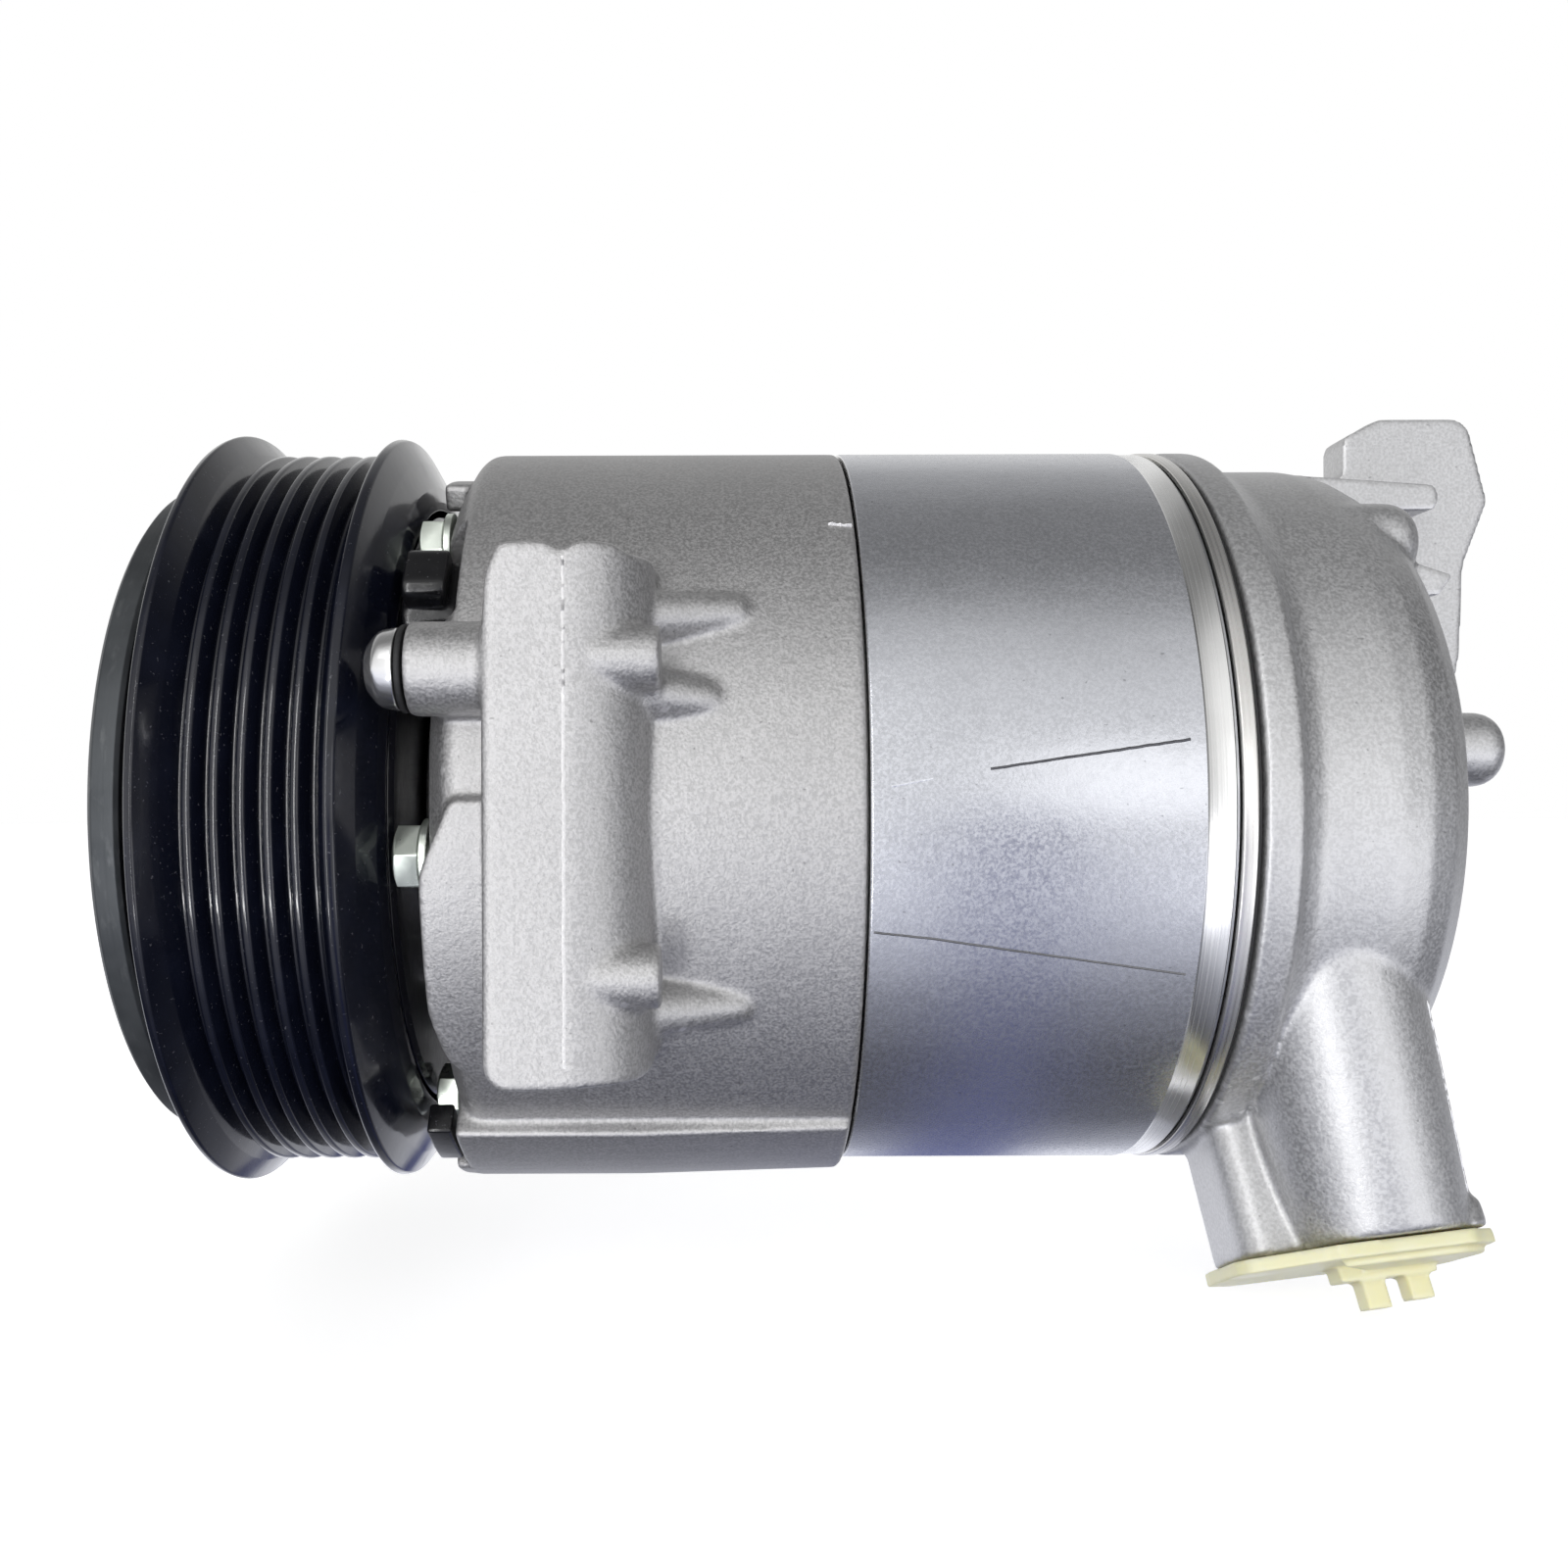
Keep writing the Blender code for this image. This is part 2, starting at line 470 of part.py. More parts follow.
def rear_head():
    corner = [(HEAD_END - HEAD_CORNER_R * (1 - math.cos(a)), HEAD_R - HEAD_CORNER_R * (1 - math.sin(a)))
              for a in (math.radians(90 - 22.5 * i) for i in range(5))]
    collar = [(HEAD_X, 0), (HEAD_X, BODY_R), (162.2, BODY_R), (163.2, 57.4), (165.0, 56.2)]
    head = add("rear_head", turned(collar + corner + [(HEAD_END, 0)], WIDE), CAST_ALUMINIUM)
    web = [(184, 44, 0), (193.6, 57.0, 0), (193.6, 63.0, 2), (200.0, EAR_TOP, 1), (214.8, EAR_TOP, 2),
           (218.4, 52.0, 2), (214.2, 41.0, 8), (213.6, 26.0, 0), (210.0, 6.0, 5), (200.0, -6.0, 8),
           (186.0, -14.0, 0)]
    ear_boss = prism(rounded([
        (EAR_X - EAR_HALF, EAR_Y - EAR_HALF, 3), (EAR_X + EAR_HALF, EAR_Y - EAR_HALF, 2),
        (EAR_X + EAR_HALF, EAR_Y + EAR_HALF, 5), (EAR_X - EAR_HALF, EAR_Y + EAR_HALF, 5)]),
        EAR_BOTTOM, EAR_TOP, "Z")
    shelf = prism([(164.5, 46), (164.5, 54.8), (182, 54.2), (204.6, 52.6), (204.6, 48.4), (186, 48.2)],
                  -12.0, 9.0, "Y")
    end_rib, end_boss = box((188, -33, 32.5), (197, 0, 36.5)), rod((185, -33, 8.8), (202.0, -33, 8.8), 5.8)
    combine(head, "UNION", prism(rounded(web), -2.0, 6.0, "Y"), ear_boss, shelf, end_rib, end_boss)
    for angle in (BOLT_ANGLES[1], BOLT_ANGLES[2], BOLT_ANGLES[4]):
        y, z = round_the_shaft(BOLT_CIRCLE_R, angle)
        combine(head, "UNION", rod((170, y, z), (190.2, y, z), 6.1, SMALL))
    block = add("port_block_tool", rod(BARREL_TOP, BARREL_FOOT, BARREL_R, MIDDLE))
    combine(block, "UNION",
            prism(rounded([(-17.2, -6.0, 4), (15, -6.0, 0), (15, 13.5, 5), (-17.2, 13.5, 5)]), 0, 24, "Z"),
            prism(rounded([(6, -11.5, 0), (16.3, -11.5, 4), (16.3, 11.5, 4), (6, 11.5, 0)]), 0, 4, "Z"),
            matrix=port_frame())
    combine(block, "DIFFERENCE", box((-40, -40, -40), (40, 40, 0)), matrix=port_frame())
    combine(head, "UNION", bake(block))
    valve_x, valve_z = 174.0, -16.0
    combine(head, "UNION", rod((valve_x, 38, valve_z), (valve_x, 58, valve_z), 11.0, SMALL))

    ports = [rod((*SUCTION_PORT, -5), (*SUCTION_PORT, 31), SUCTION_R),
             rod((*DISCHARGE_PORT, -5), (*DISCHARGE_PORT, 17), DISCHARGE_R),
             rod((*STUD_HOLE, -5), (*STUD_HOLE, 14), STUD_HOLE_R)]
    turn = Matrix.Rotation(math.radians(3), 4, "X")
    combine(head, "DIFFERENCE", turned(disc(156, 181, 31.0), MIDDLE),
            turned(ring(156, 183, 34.5, 44.5), MIDDLE + 8), matrix=turn)
    valve_bore = rod((valve_x, 36, valve_z), (valve_x, 60, valve_z), 7.5)
    relief_bore = rod((178, *RELIEF_VALVE), (194, *RELIEF_VALVE), 4.3)
    ear_hole = rod((EAR_X, EAR_Y, 50), (EAR_X, EAR_Y, 70), MOUNT_HOLE_R)
    combine(head, "DIFFERENCE", *bolt_holes(156, BOLT_END + 0.6), valve_bore, relief_bore, ear_hole)
    combine(head, "DIFFERENCE", *ports, matrix=port_frame())

    add("control_valve", turned([
        (33.8, 0), (33.8, 4.6), (38.0, 4.6), (38.0, 7.1), (56.6, 7.1), (56.6, 4.0), (60.2, 3.6), (60.2, 0)],
        SMALL), BRASS, location=(valve_x, 0, valve_z), rotation=(0, 0, 90))
    relief = add("relief_valve", turned([
        (180, 0), (180, 3.9), (192.0, 3.9), (198.0, 3.9), (198.0, 5.0), (201.5, 4.4), (201.5, 0)],
        SMALL), BRASS, location=(0, *RELIEF_VALVE))
    combine(relief, "UNION", rod((191.8, *RELIEF_VALVE), (198.2, *RELIEF_VALVE), 7.2, 6))

    outline = rounded([
        (-19.6, -7.5, 5), (-7.0, -13.5, 5), (17.6, -13.5, 9), (17.6, 14.5, 9), (-19.6, 14.5, 8)])
    cap = add("port_cap", prism(outline, -3.3, -GAP, "Z"), CAP_PLASTIC)
    combine(cap, "UNION", rod((*SUCTION_PORT, -2), (*SUCTION_PORT, 5), 7.4),
            rod((*DISCHARGE_PORT, -2), (*DISCHARGE_PORT, 5), 4.1), box((0.5, 1, -8.4), (3.9, 5, -3)),
            box((7.0, 1, -7.8), (10.4, 5, -3)), matrix=port_frame())
    cap.matrix_world = port_frame()


def through_bolts():
    master = add("bolt_master", turned([
        (45.0, 0), (45.0, 5.3), (46.0, 5.3), (46.0, BOLT_R), (BOLT_END, BOLT_R), (BOLT_END, 0)], 8), ZINC)
    combine(master, "UNION", rod((41.1, 0, 0), (45.4, 0, 0), 4.8, 6))
    bolt = bake(master)
    for i, angle in enumerate(BOLT_ANGLES, start=1):
        y, z = round_the_shaft(BOLT_CIRCLE_R, angle)
        add("through_bolt_%d" % i, bolt, ZINC, location=(0, y, z), rotation=(90 - angle, 0, 0))


clear_scene()
PARTS = collection("automotive_ac_compressor")
TOOLS = collection("cutters")

CAST_ALUMINIUM = material("cast_aluminium", (0.62, 0.62, 0.65), 0.45, 0.9)
MACHINED_STEEL = material("machined_steel", (0.66, 0.65, 0.64), 0.3, 1.0)
FRICTION_STEEL = material("friction_steel", (0.12, 0.13, 0.14), 0.45, 0.7)
PULLEY_BLACK = material("pulley_black", (0.012, 0.014, 0.03), 0.15, 0.2)
CLUTCH_STEEL = material("clutch_steel", (0.3, 0.3, 0.31), 0.4, 0.9)
SPRING_STEEL = material("spring_steel", (0.35, 0.36, 0.38), 0.3, 1.0)
BEARING_STEEL = material("bearing_steel", (0.6, 0.6, 0.62), 0.2, 1.0)
BRIGHT_STEEL = material("bright_steel", (0.75, 0.75, 0.76), 0.15, 1.0)
ZINC = material("zinc", (0.75, 0.78, 0.74), 0.3, 0.9)
COIL_BLACK = material("coil_black", (0.01, 0.01, 0.015), 0.25, 0.2)
BLACK_PLASTIC = material("black_plastic", (0.01, 0.01, 0.012), 0.2, 0.0)
COPPER = material("copper", (0.7, 0.32, 0.16), 0.35, 1.0)
RUBBER = material("rubber", (0.015, 0.015, 0.015), 0.6, 0.0)
BRONZE = material("bronze", (0.5, 0.35, 0.2), 0.35, 1.0)
BRASS = material("brass", (0.75, 0.58, 0.28), 0.3, 1.0)
PISTON_ALLOY = material("piston_alloy", (0.7, 0.7, 0.72), 0.3, 0.9)
CAP_PLASTIC = material("cap_plastic", (0.85, 0.82, 0.5), 0.35, 0.0)

clutch()
pulley_and_bearing()
coil()
front_housing()
shaft_assembly()
pistons()
block_and_valves()
rear_head()
through_bolts()
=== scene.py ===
"""Looks of the automotive air-conditioning compressor: fine meshes, procedural finishes, studio and camera.

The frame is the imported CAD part. The shaft lies along X, +X runs back towards the rear head, +Z is up and
-Y is the near side. Lengths are in millimetres, and MM turns them into metres where a mesh is made.
Angles round the shaft start at the near side (-Y) and grow towards the top (+Z).
"""
import math

import bmesh
import bpy
from mathutils import Matrix, Vector, noise


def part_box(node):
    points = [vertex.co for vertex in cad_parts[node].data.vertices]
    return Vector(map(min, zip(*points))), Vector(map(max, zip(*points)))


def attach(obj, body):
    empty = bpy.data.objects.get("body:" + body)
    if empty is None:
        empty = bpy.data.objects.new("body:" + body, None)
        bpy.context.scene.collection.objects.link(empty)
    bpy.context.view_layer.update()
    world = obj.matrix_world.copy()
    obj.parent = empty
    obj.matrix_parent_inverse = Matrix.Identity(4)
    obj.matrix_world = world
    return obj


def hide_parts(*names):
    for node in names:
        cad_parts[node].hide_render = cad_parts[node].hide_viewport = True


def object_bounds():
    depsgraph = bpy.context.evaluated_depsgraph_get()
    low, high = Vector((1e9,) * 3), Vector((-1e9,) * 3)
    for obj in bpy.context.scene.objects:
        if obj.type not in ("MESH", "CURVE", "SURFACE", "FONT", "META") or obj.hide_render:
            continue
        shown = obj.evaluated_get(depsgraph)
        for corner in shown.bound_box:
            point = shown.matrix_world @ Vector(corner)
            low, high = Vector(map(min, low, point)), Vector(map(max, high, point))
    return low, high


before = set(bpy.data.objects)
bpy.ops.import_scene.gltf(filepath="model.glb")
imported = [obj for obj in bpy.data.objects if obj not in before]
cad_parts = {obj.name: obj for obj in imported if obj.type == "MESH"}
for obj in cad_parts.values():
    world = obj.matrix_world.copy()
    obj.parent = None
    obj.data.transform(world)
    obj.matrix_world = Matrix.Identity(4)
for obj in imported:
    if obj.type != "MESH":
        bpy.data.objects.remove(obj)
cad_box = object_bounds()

MM = 0.001
FINE, ROUND, SMALL = 192, 64, 32
VOXEL = 0.42
GAP = 0.3


def ends(node, axis=0):
    """Where a CAD node starts and ends along an axis, in millimetres."""
    low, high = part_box(node)
    return low[axis] / MM, high[axis] / MM


# Places read from the frame
ARMATURE_BACK = ends("armature_plate")[1]
ARMATURE_R = ends("armature_plate", 2)[1]
PULLEY_FRONT, PULLEY_REAR = ends("pulley")
FLANGE_R = ends("pulley", 2)[1]
SEAM_X = ends("front_housing")[1]
BLOCK_END = ends("cylinder_block")[1]
PLATE_X, PLATE_END = ends("valve_plate")
BODY_R = ends("valve_plate", 2)[1]
HEAD_X = ends("rear_head")[0]
BOLT_FRONT = ends("through_bolt_1")[0]

# Clutch and pulley
ARMATURE_BORE_R, RIVET_CIRCLE_R = 30.0, 38.0
SPRING_FRONT, SPRING_BACK, SPRING_INNER_R, SPRING_REACH = -1.4, -0.6, 22.0, 22.0
THREAD_ROOT_R, THREAD_CREST_R, THREAD_PITCH, THREAD_END = 4.45, 5.0, 0.8, 6.6
RACE_FRONT, RACE_REAR, RACE_GROOVE_X = 7.7, 30.1, 18.85
CREST_R, GROOVE_R, GROOVES, GROOVE_PITCH, FIRST_GROOVE = 59.0, 56.2, 6, 3.56, 13.8
CONNECTOR_ANGLE = 36.0

# Case
FACE_X, CHAMBER_R, SNOUT_R, HEAD_END, HEAD_R = 46.3, 53.2, 17.2, 191.4, 56.0
BOLT_CIRCLE_R, BOLT_END, SHANK_R, BOLT_HOLE_R = 49.5, 171.0, 3.0, 3.4
BOLT_ANGLES = [-8.0 + 60.0 * i for i in range(6)]
PISTON_CIRCLE_R, CYLINDER_R, BEARING_SEAT_R = 36.0, 15.5, 12.3
PISTON_ANGLES = [25.0 + 60.0 * i for i in range(6)]
BAR_FRONT, BAR_REAR, BAR_TOP, BAR_BOTTOM, BAR_Y = 55.3, 76.9, 33.6, -36.2, 66.2
BAR_HOLE_X, BAR_HOLE_Y, MOUNT_HOLE_R = 66.1, 59.6, 4.2
PARTING_X = 65.8
PLUG_Y, PLUG_Z = -59.2, 18.0
EAR_X, EAR_Y, EAR_HALF, EAR_TOP, EAR_BOTTOM = 207.0, 5.4, 8.0, 66.2, 52.0
RELIEF_VALVE = (20.0, 14.0)
VALVE_X, VALVE_Z = 174.0, -16.0

# Pipe ports: the face's centre, its lean towards the near side and the rear, and the places of its holes
PORT_CENTRE = (177.4, -38.5, -64.8)
PORT_LEAN_NEAR, PORT_LEAN_REAR = 25.0, 7.0
SUCTION_PORT, SUCTION_R = (4.2, 0.0), 8.0
DISCHARGE_PORT, DISCHARGE_R = (-11.0, 3.0), 4.6
STUD_HOLE, STUD_HOLE_R = (-4.5, 9.8), 2.5
BARREL_TOP, BARREL_FOOT, BARREL_R = (170.9, -39.3, -16.0), (184.3, -39.3, -80.0), 13.1


# ---------------------------------------------------------------- mesh helpers

def from_bmesh(shape, crease=35):
    """A smooth-shaded mesh whose edges stay sharp above the crease angle."""
    bmesh.ops.recalc_face_normals(shape, faces=shape.faces)
    mesh = bpy.data.meshes.new("shape")
    shape.to_mesh(mesh)
    shape.free()
    mesh.shade_smooth()
    mesh.set_sharp_from_angle(angle=math.radians(crease))
    return mesh


def round_the_shaft(radius, angle):
    """The (y, z) of a point at this radius and angle."""
    return -radius * math.cos(math.radians(angle)), radius * math.sin(math.radians(angle))


def rounded(corners, closed=True, steps=5):
    """A line of points from (a, b, radius) corners, each rounded by its radius."""
    outline = []
    for i, (a, b, radius) in enumerate(corners):
        if radius == 0 or (not closed and i in (0, len(corners) - 1)):
            outline.append((a, b))
            continue
        here = Vector((a, b))
        back = (Vector(corners[i - 1][:2]) - here).normalized()
        ahead = (Vector(corners[(i + 1) % len(corners)][:2]) - here).normalized()
        half = back.angle(ahead) / 2
        centre = here + (back + ahead).normalized() * (radius / math.sin(half))
        first = here + back * (radius / math.tan(half)) - centre
        last = here + ahead * (radius / math.tan(half)) - centre
        sweep = first.angle_signed(last)
        for step in range(steps + 1):
            point = centre + Matrix.Rotation(-sweep * step / steps, 2) @ first
            outline.append((point.x, point.y))
    return outline


def lathe(profile, segments=FINE):
    """A body turned about the shaft from (x, radius) points: a ring, or a solid with its ends on the axis."""
    shape = bmesh.new()
    rows = []
    for x, r in profile:
        count = segments if r > 0 else 1
        places = [round_the_shaft(r, 360 * i / segments) for i in range(count)]
        rows.append([shape.verts.new((x * MM, y * MM, z * MM)) for y, z in places])
    pairs = list(zip(rows, rows[1:]))
    if profile[0][1] > 0:
        pairs.append((rows[-1], rows[0]))
    for first, second in pairs:
        for i in range(segments):
            j = i + 1
            loop = [first[i % len(first)], first[j % len(first)],
                    second[j % len(second)], second[i % len(second)]]
            corners = list(dict.fromkeys(loop))
            if len(corners) > 2:
                shape.faces.new(corners)
    return from_bmesh(shape)


def turned(corners, segments=FINE):
    """A lathe body from (x, radius, corner radius) corners."""
    return lathe(rounded(corners, closed=corners[0][1] > 0), segments)


def ring(low, high, inner, outer, outer_corner=0.0, inner_corner=0.0, segments=FINE):
    """A plain ring about the shaft, or a disc if its inner radius is 0."""
    return turned([(low, inner, inner_corner), (low, outer, outer_corner), (high, outer, outer_corner),
                   (high, inner, inner_corner)], segments)


def rod(start, end, radius, segments=ROUND, end_radius=None):
    """A straight cylinder, or a cone, between two points."""
    start, end = Vector(start) * MM, Vector(end) * MM
    shape = bmesh.new()
    bmesh.ops.create_cone(shape, cap_ends=True, segments=segments, radius1=radius * MM,
                          radius2=(radius if end_radius is None else end_radius) * MM,
                          depth=(end - start).length)
    turn = Vector((0, 0, 1)).rotation_difference(end - start).to_matrix().to_4x4()
    shape.transform(Matrix.Translation((start + end) / 2) @ turn)
    return from_bmesh(shape)


def ball(centre, radius):
    """A sphere, for the rounded tip of a rib."""
    shape = bmesh.new()
    bmesh.ops.create_uvsphere(shape, u_segments=SMALL, v_segments=SMALL // 2, radius=radius * MM)
    shape.transform(Matrix.Translation(Vector(centre) * MM))
    return from_bmesh(shape)


def box(low, high):
    """A block between two corners."""
    shape = bmesh.new()
    bmesh.ops.create_cube(shape, size=1)
    size = [(b - a) * MM for a, b in zip(low, high)]
    centre = [(a + b) / 2 * MM for a, b in zip(low, high)]
    shape.transform(Matrix.Translation(centre) @ Matrix.Diagonal((*size, 1)))
    return from_bmesh(shape)


def prism(outline, low, high, axis, end_scale=1.0):
    """A flat outline pushed along an axis: (x, y) points for Z, (x, z) for Y and (y, z) for X."""
    orders = {"Z": (0, 1, 2), "Y": (0, 2, 1), "X": (2, 0, 1)}

    def place(*values):
        return [values[i] for i in orders[axis]]

    shape = bmesh.new()
    face = shape.faces.new([shape.verts.new(Vector(place(a, b, low)) * MM) for a, b in outline])
    pushed = bmesh.ops.extrude_face_region(shape, geom=[face])
    corners = [item for item in pushed["geom"] if isinstance(item, bmesh.types.BMVert)]
    bmesh.ops.scale(shape, verts=corners, vec=Vector(place(end_scale, end_scale, 1.0)))
    bmesh.ops.translate(shape, verts=corners, vec=Vector(place(0, 0, high - low)) * MM)
    return from_bmesh(shape)


def arc_band(r0, r1, first, last, steps=24):
    """An outline in (y, z) between two radii and two angles."""
    angles = [first + (last - first) * i / steps for i in range(steps + 1)]
    return [round_the_shaft(r1, a) for a in angles] + [round_the_shaft(r0, a) for a in reversed(angles)]


def moved(mesh, matrix):
    """A copy of the mesh, placed by the matrix."""
    copy = mesh.copy()
    copy.transform(matrix)
    return copy


def with_modifiers(mesh, *recipes):
    """The mesh after the modifiers in recipes, each (type, settings)."""
    obj = bpy.data.objects.new("work", mesh)
    bpy.context.scene.collection.objects.link(obj)
    for kind, settings in recipes:
        modifier = obj.modifiers.new(kind.lower(), kind)
        for key, value in settings.items():
            setattr(modifier, key, value)
    bpy.context.view_layer.update()
    made = bpy.data.meshes.new_from_object(obj.evaluated_get(bpy.context.evaluated_depsgraph_get()))
    bpy.data.objects.remove(obj, do_unlink=True)
    return made


def carved(mesh, operation, *tools):
    """The mesh joined with, cut by or kept inside each tool mesh."""
    recipes, helpers = [], []
    for tool in tools:
        helper = bpy.data.objects.new("tool", tool)
        bpy.context.scene.collection.objects.link(helper)
        helpers.append(helper)
        recipes.append(("BOOLEAN", {"operation": operation, "object": helper, "solver": "EXACT"}))
    made = with_modifiers(mesh, *recipes)
    for helper in helpers:
        bpy.data.objects.remove(helper, do_unlink=True)
    made.shade_smooth()
    made.set_sharp_from_angle(angle=math.radians(35))
    return made


def joined(*meshes):
    """One mesh that holds all of them, for a voxel remesh to fuse."""
    shape = bmesh.new()
    for mesh in meshes:
        shape.from_mesh(mesh)
    together = bpy.data.meshes.new("joined")
    shape.to_mesh(together)
    shape.free()
    return together


def melted(mesh, voxel, passes):
    """Fuses the bodies in a mesh and rounds all its edges, as the mould rounds those of a casting."""
    made = with_modifiers(
        mesh,
        ("REMESH", {"mode": "VOXEL", "voxel_size": voxel * MM, "use_smooth_shade": True}),
        ("SMOOTH", {"factor": 0.5, "iterations": passes}))
    made.shade_smooth()
    return made


def bevelled(mesh, width, segments):
    """The mesh with its sharp edges rounded."""
    made = with_modifiers(mesh, ("BEVEL", {"width": width * MM, "segments": segments, "limit_method": "ANGLE",
                                           "angle_limit": math.radians(35)}))
    made.shade_smooth()
    made.set_sharp_from_angle(angle=math.radians(40))
    return made


def piece(name, mesh, body, slot, *nodes, coat=None):
    """A shown piece that rides on a body in its slot's look or its own, and stands for any nodes named."""
    obj = bpy.data.objects.new(name, mesh)
    bpy.context.scene.collection.objects.link(obj)
    mesh.materials.clear()
    mesh.materials.append(coat or LOOKS[slot])
    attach(obj, body)
    if nodes:
        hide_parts(*nodes)


def hexagon(low, high, radius, chamfer):
    """A hexagon nut or bolt head along the shaft, with its corners turned off at the low end."""
    envelope = turned([(low, 0, 0), (low, radius - chamfer * 2.2, 0.2), (low + chamfer, radius * 1.01, 0.2),
                       (high, radius * 1.01, 0), (high, 0, 0)], ROUND)
    return bevelled(carved(rod((low, 0, 0), (high, 0, 0), radius, 6), "INTERSECT", envelope), 0.12, 2)


def rivet_places():
    """Where the (y, z) of the three rivets are, the first at the top."""
    return [round_the_shaft(RIVET_CIRCLE_R, 90 + 120 * i) for i in range(3)]


def bolt_places():
    """The (y, z) of each through bolt."""
    return [round_the_shaft(BOLT_CIRCLE_R, angle) for angle in BOLT_ANGLES]


def bolt_holes(low, high):
    """Cutters for the through bolts' holes between two places along the shaft."""
    return [rod((low, y, z), (high, y, z), BOLT_HOLE_R, SMALL) for y, z in bolt_places()]


def across_shaft(y, z):
    """The move that takes a body turned about the shaft to a parallel axis at (y, z)."""
    return Matrix.Translation(Vector((0, y, z)) * MM)


def port_frame():
    """The place of the ports' leaning face, with +Z into the head."""
    lean = Matrix.Rotation(math.radians(-PORT_LEAN_REAR), 4, "Y") @ Matrix.Rotation(
        math.radians(-PORT_LEAN_NEAR), 4, "X")
    return Matrix.Translation(Vector(PORT_CENTRE) * MM) @ lean


# ------------------------------------------------------------------- materials

class Coat:
    """A node material with a Principled shader, and short ways to add detail to it."""

    def __init__(self, name, colour, roughness, metallic, **inputs):
        self.material = bpy.data.materials.new("look_" + name)
        self.material.use_nodes = True
        self.tree = self.material.node_tree
        self.shader = self.tree.nodes["Principled BSDF"]
        self.put("Base Color", (*colour, 1.0))
        self.put("Roughness", roughness)
        self.put("Metallic", metallic)
        for key, value in inputs.items():
            self.put(key.replace("_", " ").title().replace("Ior", "IOR"), value)
        self.place = self.node("ShaderNodeTexCoord").outputs["Object"]
        self.height = None

    def node(self, kind, **settings):
        """A new shader node with these settings."""
        made = self.tree.nodes.new(kind)
        for key, value in settings.items():
            setattr(made, key, value)
        return made

    def put(self, name, value):
        """Sets one of the shader's inputs."""
        self.shader.inputs[name].default_value = value

    def link(self, output, target):
        """Joins an output to an input."""
        self.tree.links.new(output, target)

    def math(self, operation, a, b):
        """The result of an operation on two outputs or numbers."""
        made = self.node("ShaderNodeMath", operation=operation)
        for socket, value in zip(made.inputs, (a, b)):
            if isinstance(value, (int, float)):
                socket.default_value = value
            else:
                self.link(value, socket)
        return made.outputs[0]

    def ramp(self, value, low, high, out_low, out_high):
        """Maps a value from one range to another."""
        made = self.node("ShaderNodeMapRange")
        self.link(value, made.inputs["Value"])
        for name, number in zip(("From Min", "From Max", "To Min", "To Max"), (low, high, out_low, out_high)):
            made.inputs[name].default_value = number
        return made.outputs[0]

    def noise(self, size, detail=2.0, stretch=(1, 1, 1), place=None):
        """Noise whose features are about this many millimetres across."""
        mapping = self.node("ShaderNodeMapping")
        mapping.inputs["Scale"].default_value = stretch
        self.link(place or self.place, mapping.inputs["Vector"])
        made = self.node("ShaderNodeTexNoise")
        made.inputs["Scale"].default_value = 1000.0 / size
        made.inputs["Detail"].default_value = detail
        self.link(mapping.outputs[0], made.inputs["Vector"])
        return made.outputs[0]

    def turning(self):
        """A place that changes only along the shaft and away from it, for lathe marks."""
        split = self.node("ShaderNodeSeparateXYZ")
        self.link(self.place, split.inputs[0])
        squares = self.math("ADD", self.math("POWER", split.outputs[1], 2.0),
                            self.math("POWER", split.outputs[2], 2.0))
        join = self.node("ShaderNodeCombineXYZ")
        self.link(split.outputs[0], join.inputs[0])
        self.link(self.math("SQRT", squares, 0.0), join.inputs[1])
        return join.outputs[0]

    def tint(self, amount, other):
        """Mixes another colour in by an amount from 0 to 1."""
        mix = self.node("ShaderNodeMix", data_type="RGBA")
        self.link(amount, mix.inputs["Factor"])
        current = self.shader.inputs["Base Color"]
        if current.links:
            self.link(current.links[0].from_socket, mix.inputs["A"])
        else:
            mix.inputs["A"].default_value = current.default_value
        mix.inputs["B"].default_value = (*other, 1.0)
        self.link(mix.outputs["Result"], current)

    def roughen(self, amount, low, high):
        """Lets the roughness follow a noise between two levels."""
        self.link(self.ramp(amount, 0.3, 0.7, low, high), self.shader.inputs["Roughness"])

    def bump(self, height, depth):
        """Adds relief of this depth in millimetres."""
        made = self.node("ShaderNodeBump")
        made.inputs["Strength"].default_value = 1.0
        made.inputs["Distance"].default_value = depth * MM
        self.link(height, made.inputs["Height"])
        if self.height:
            self.link(self.height, made.inputs["Normal"])
        self.height = made.outputs[0]
        self.link(self.height, self.shader.inputs["Normal"])

    def edges(self, low, high):
        """How far a point stands on an outer edge, from 0 to 1, on a dense mesh."""
        return self.ramp(self.node("ShaderNodeNewGeometry").outputs["Pointiness"], low, high, 0.0, 1.0)


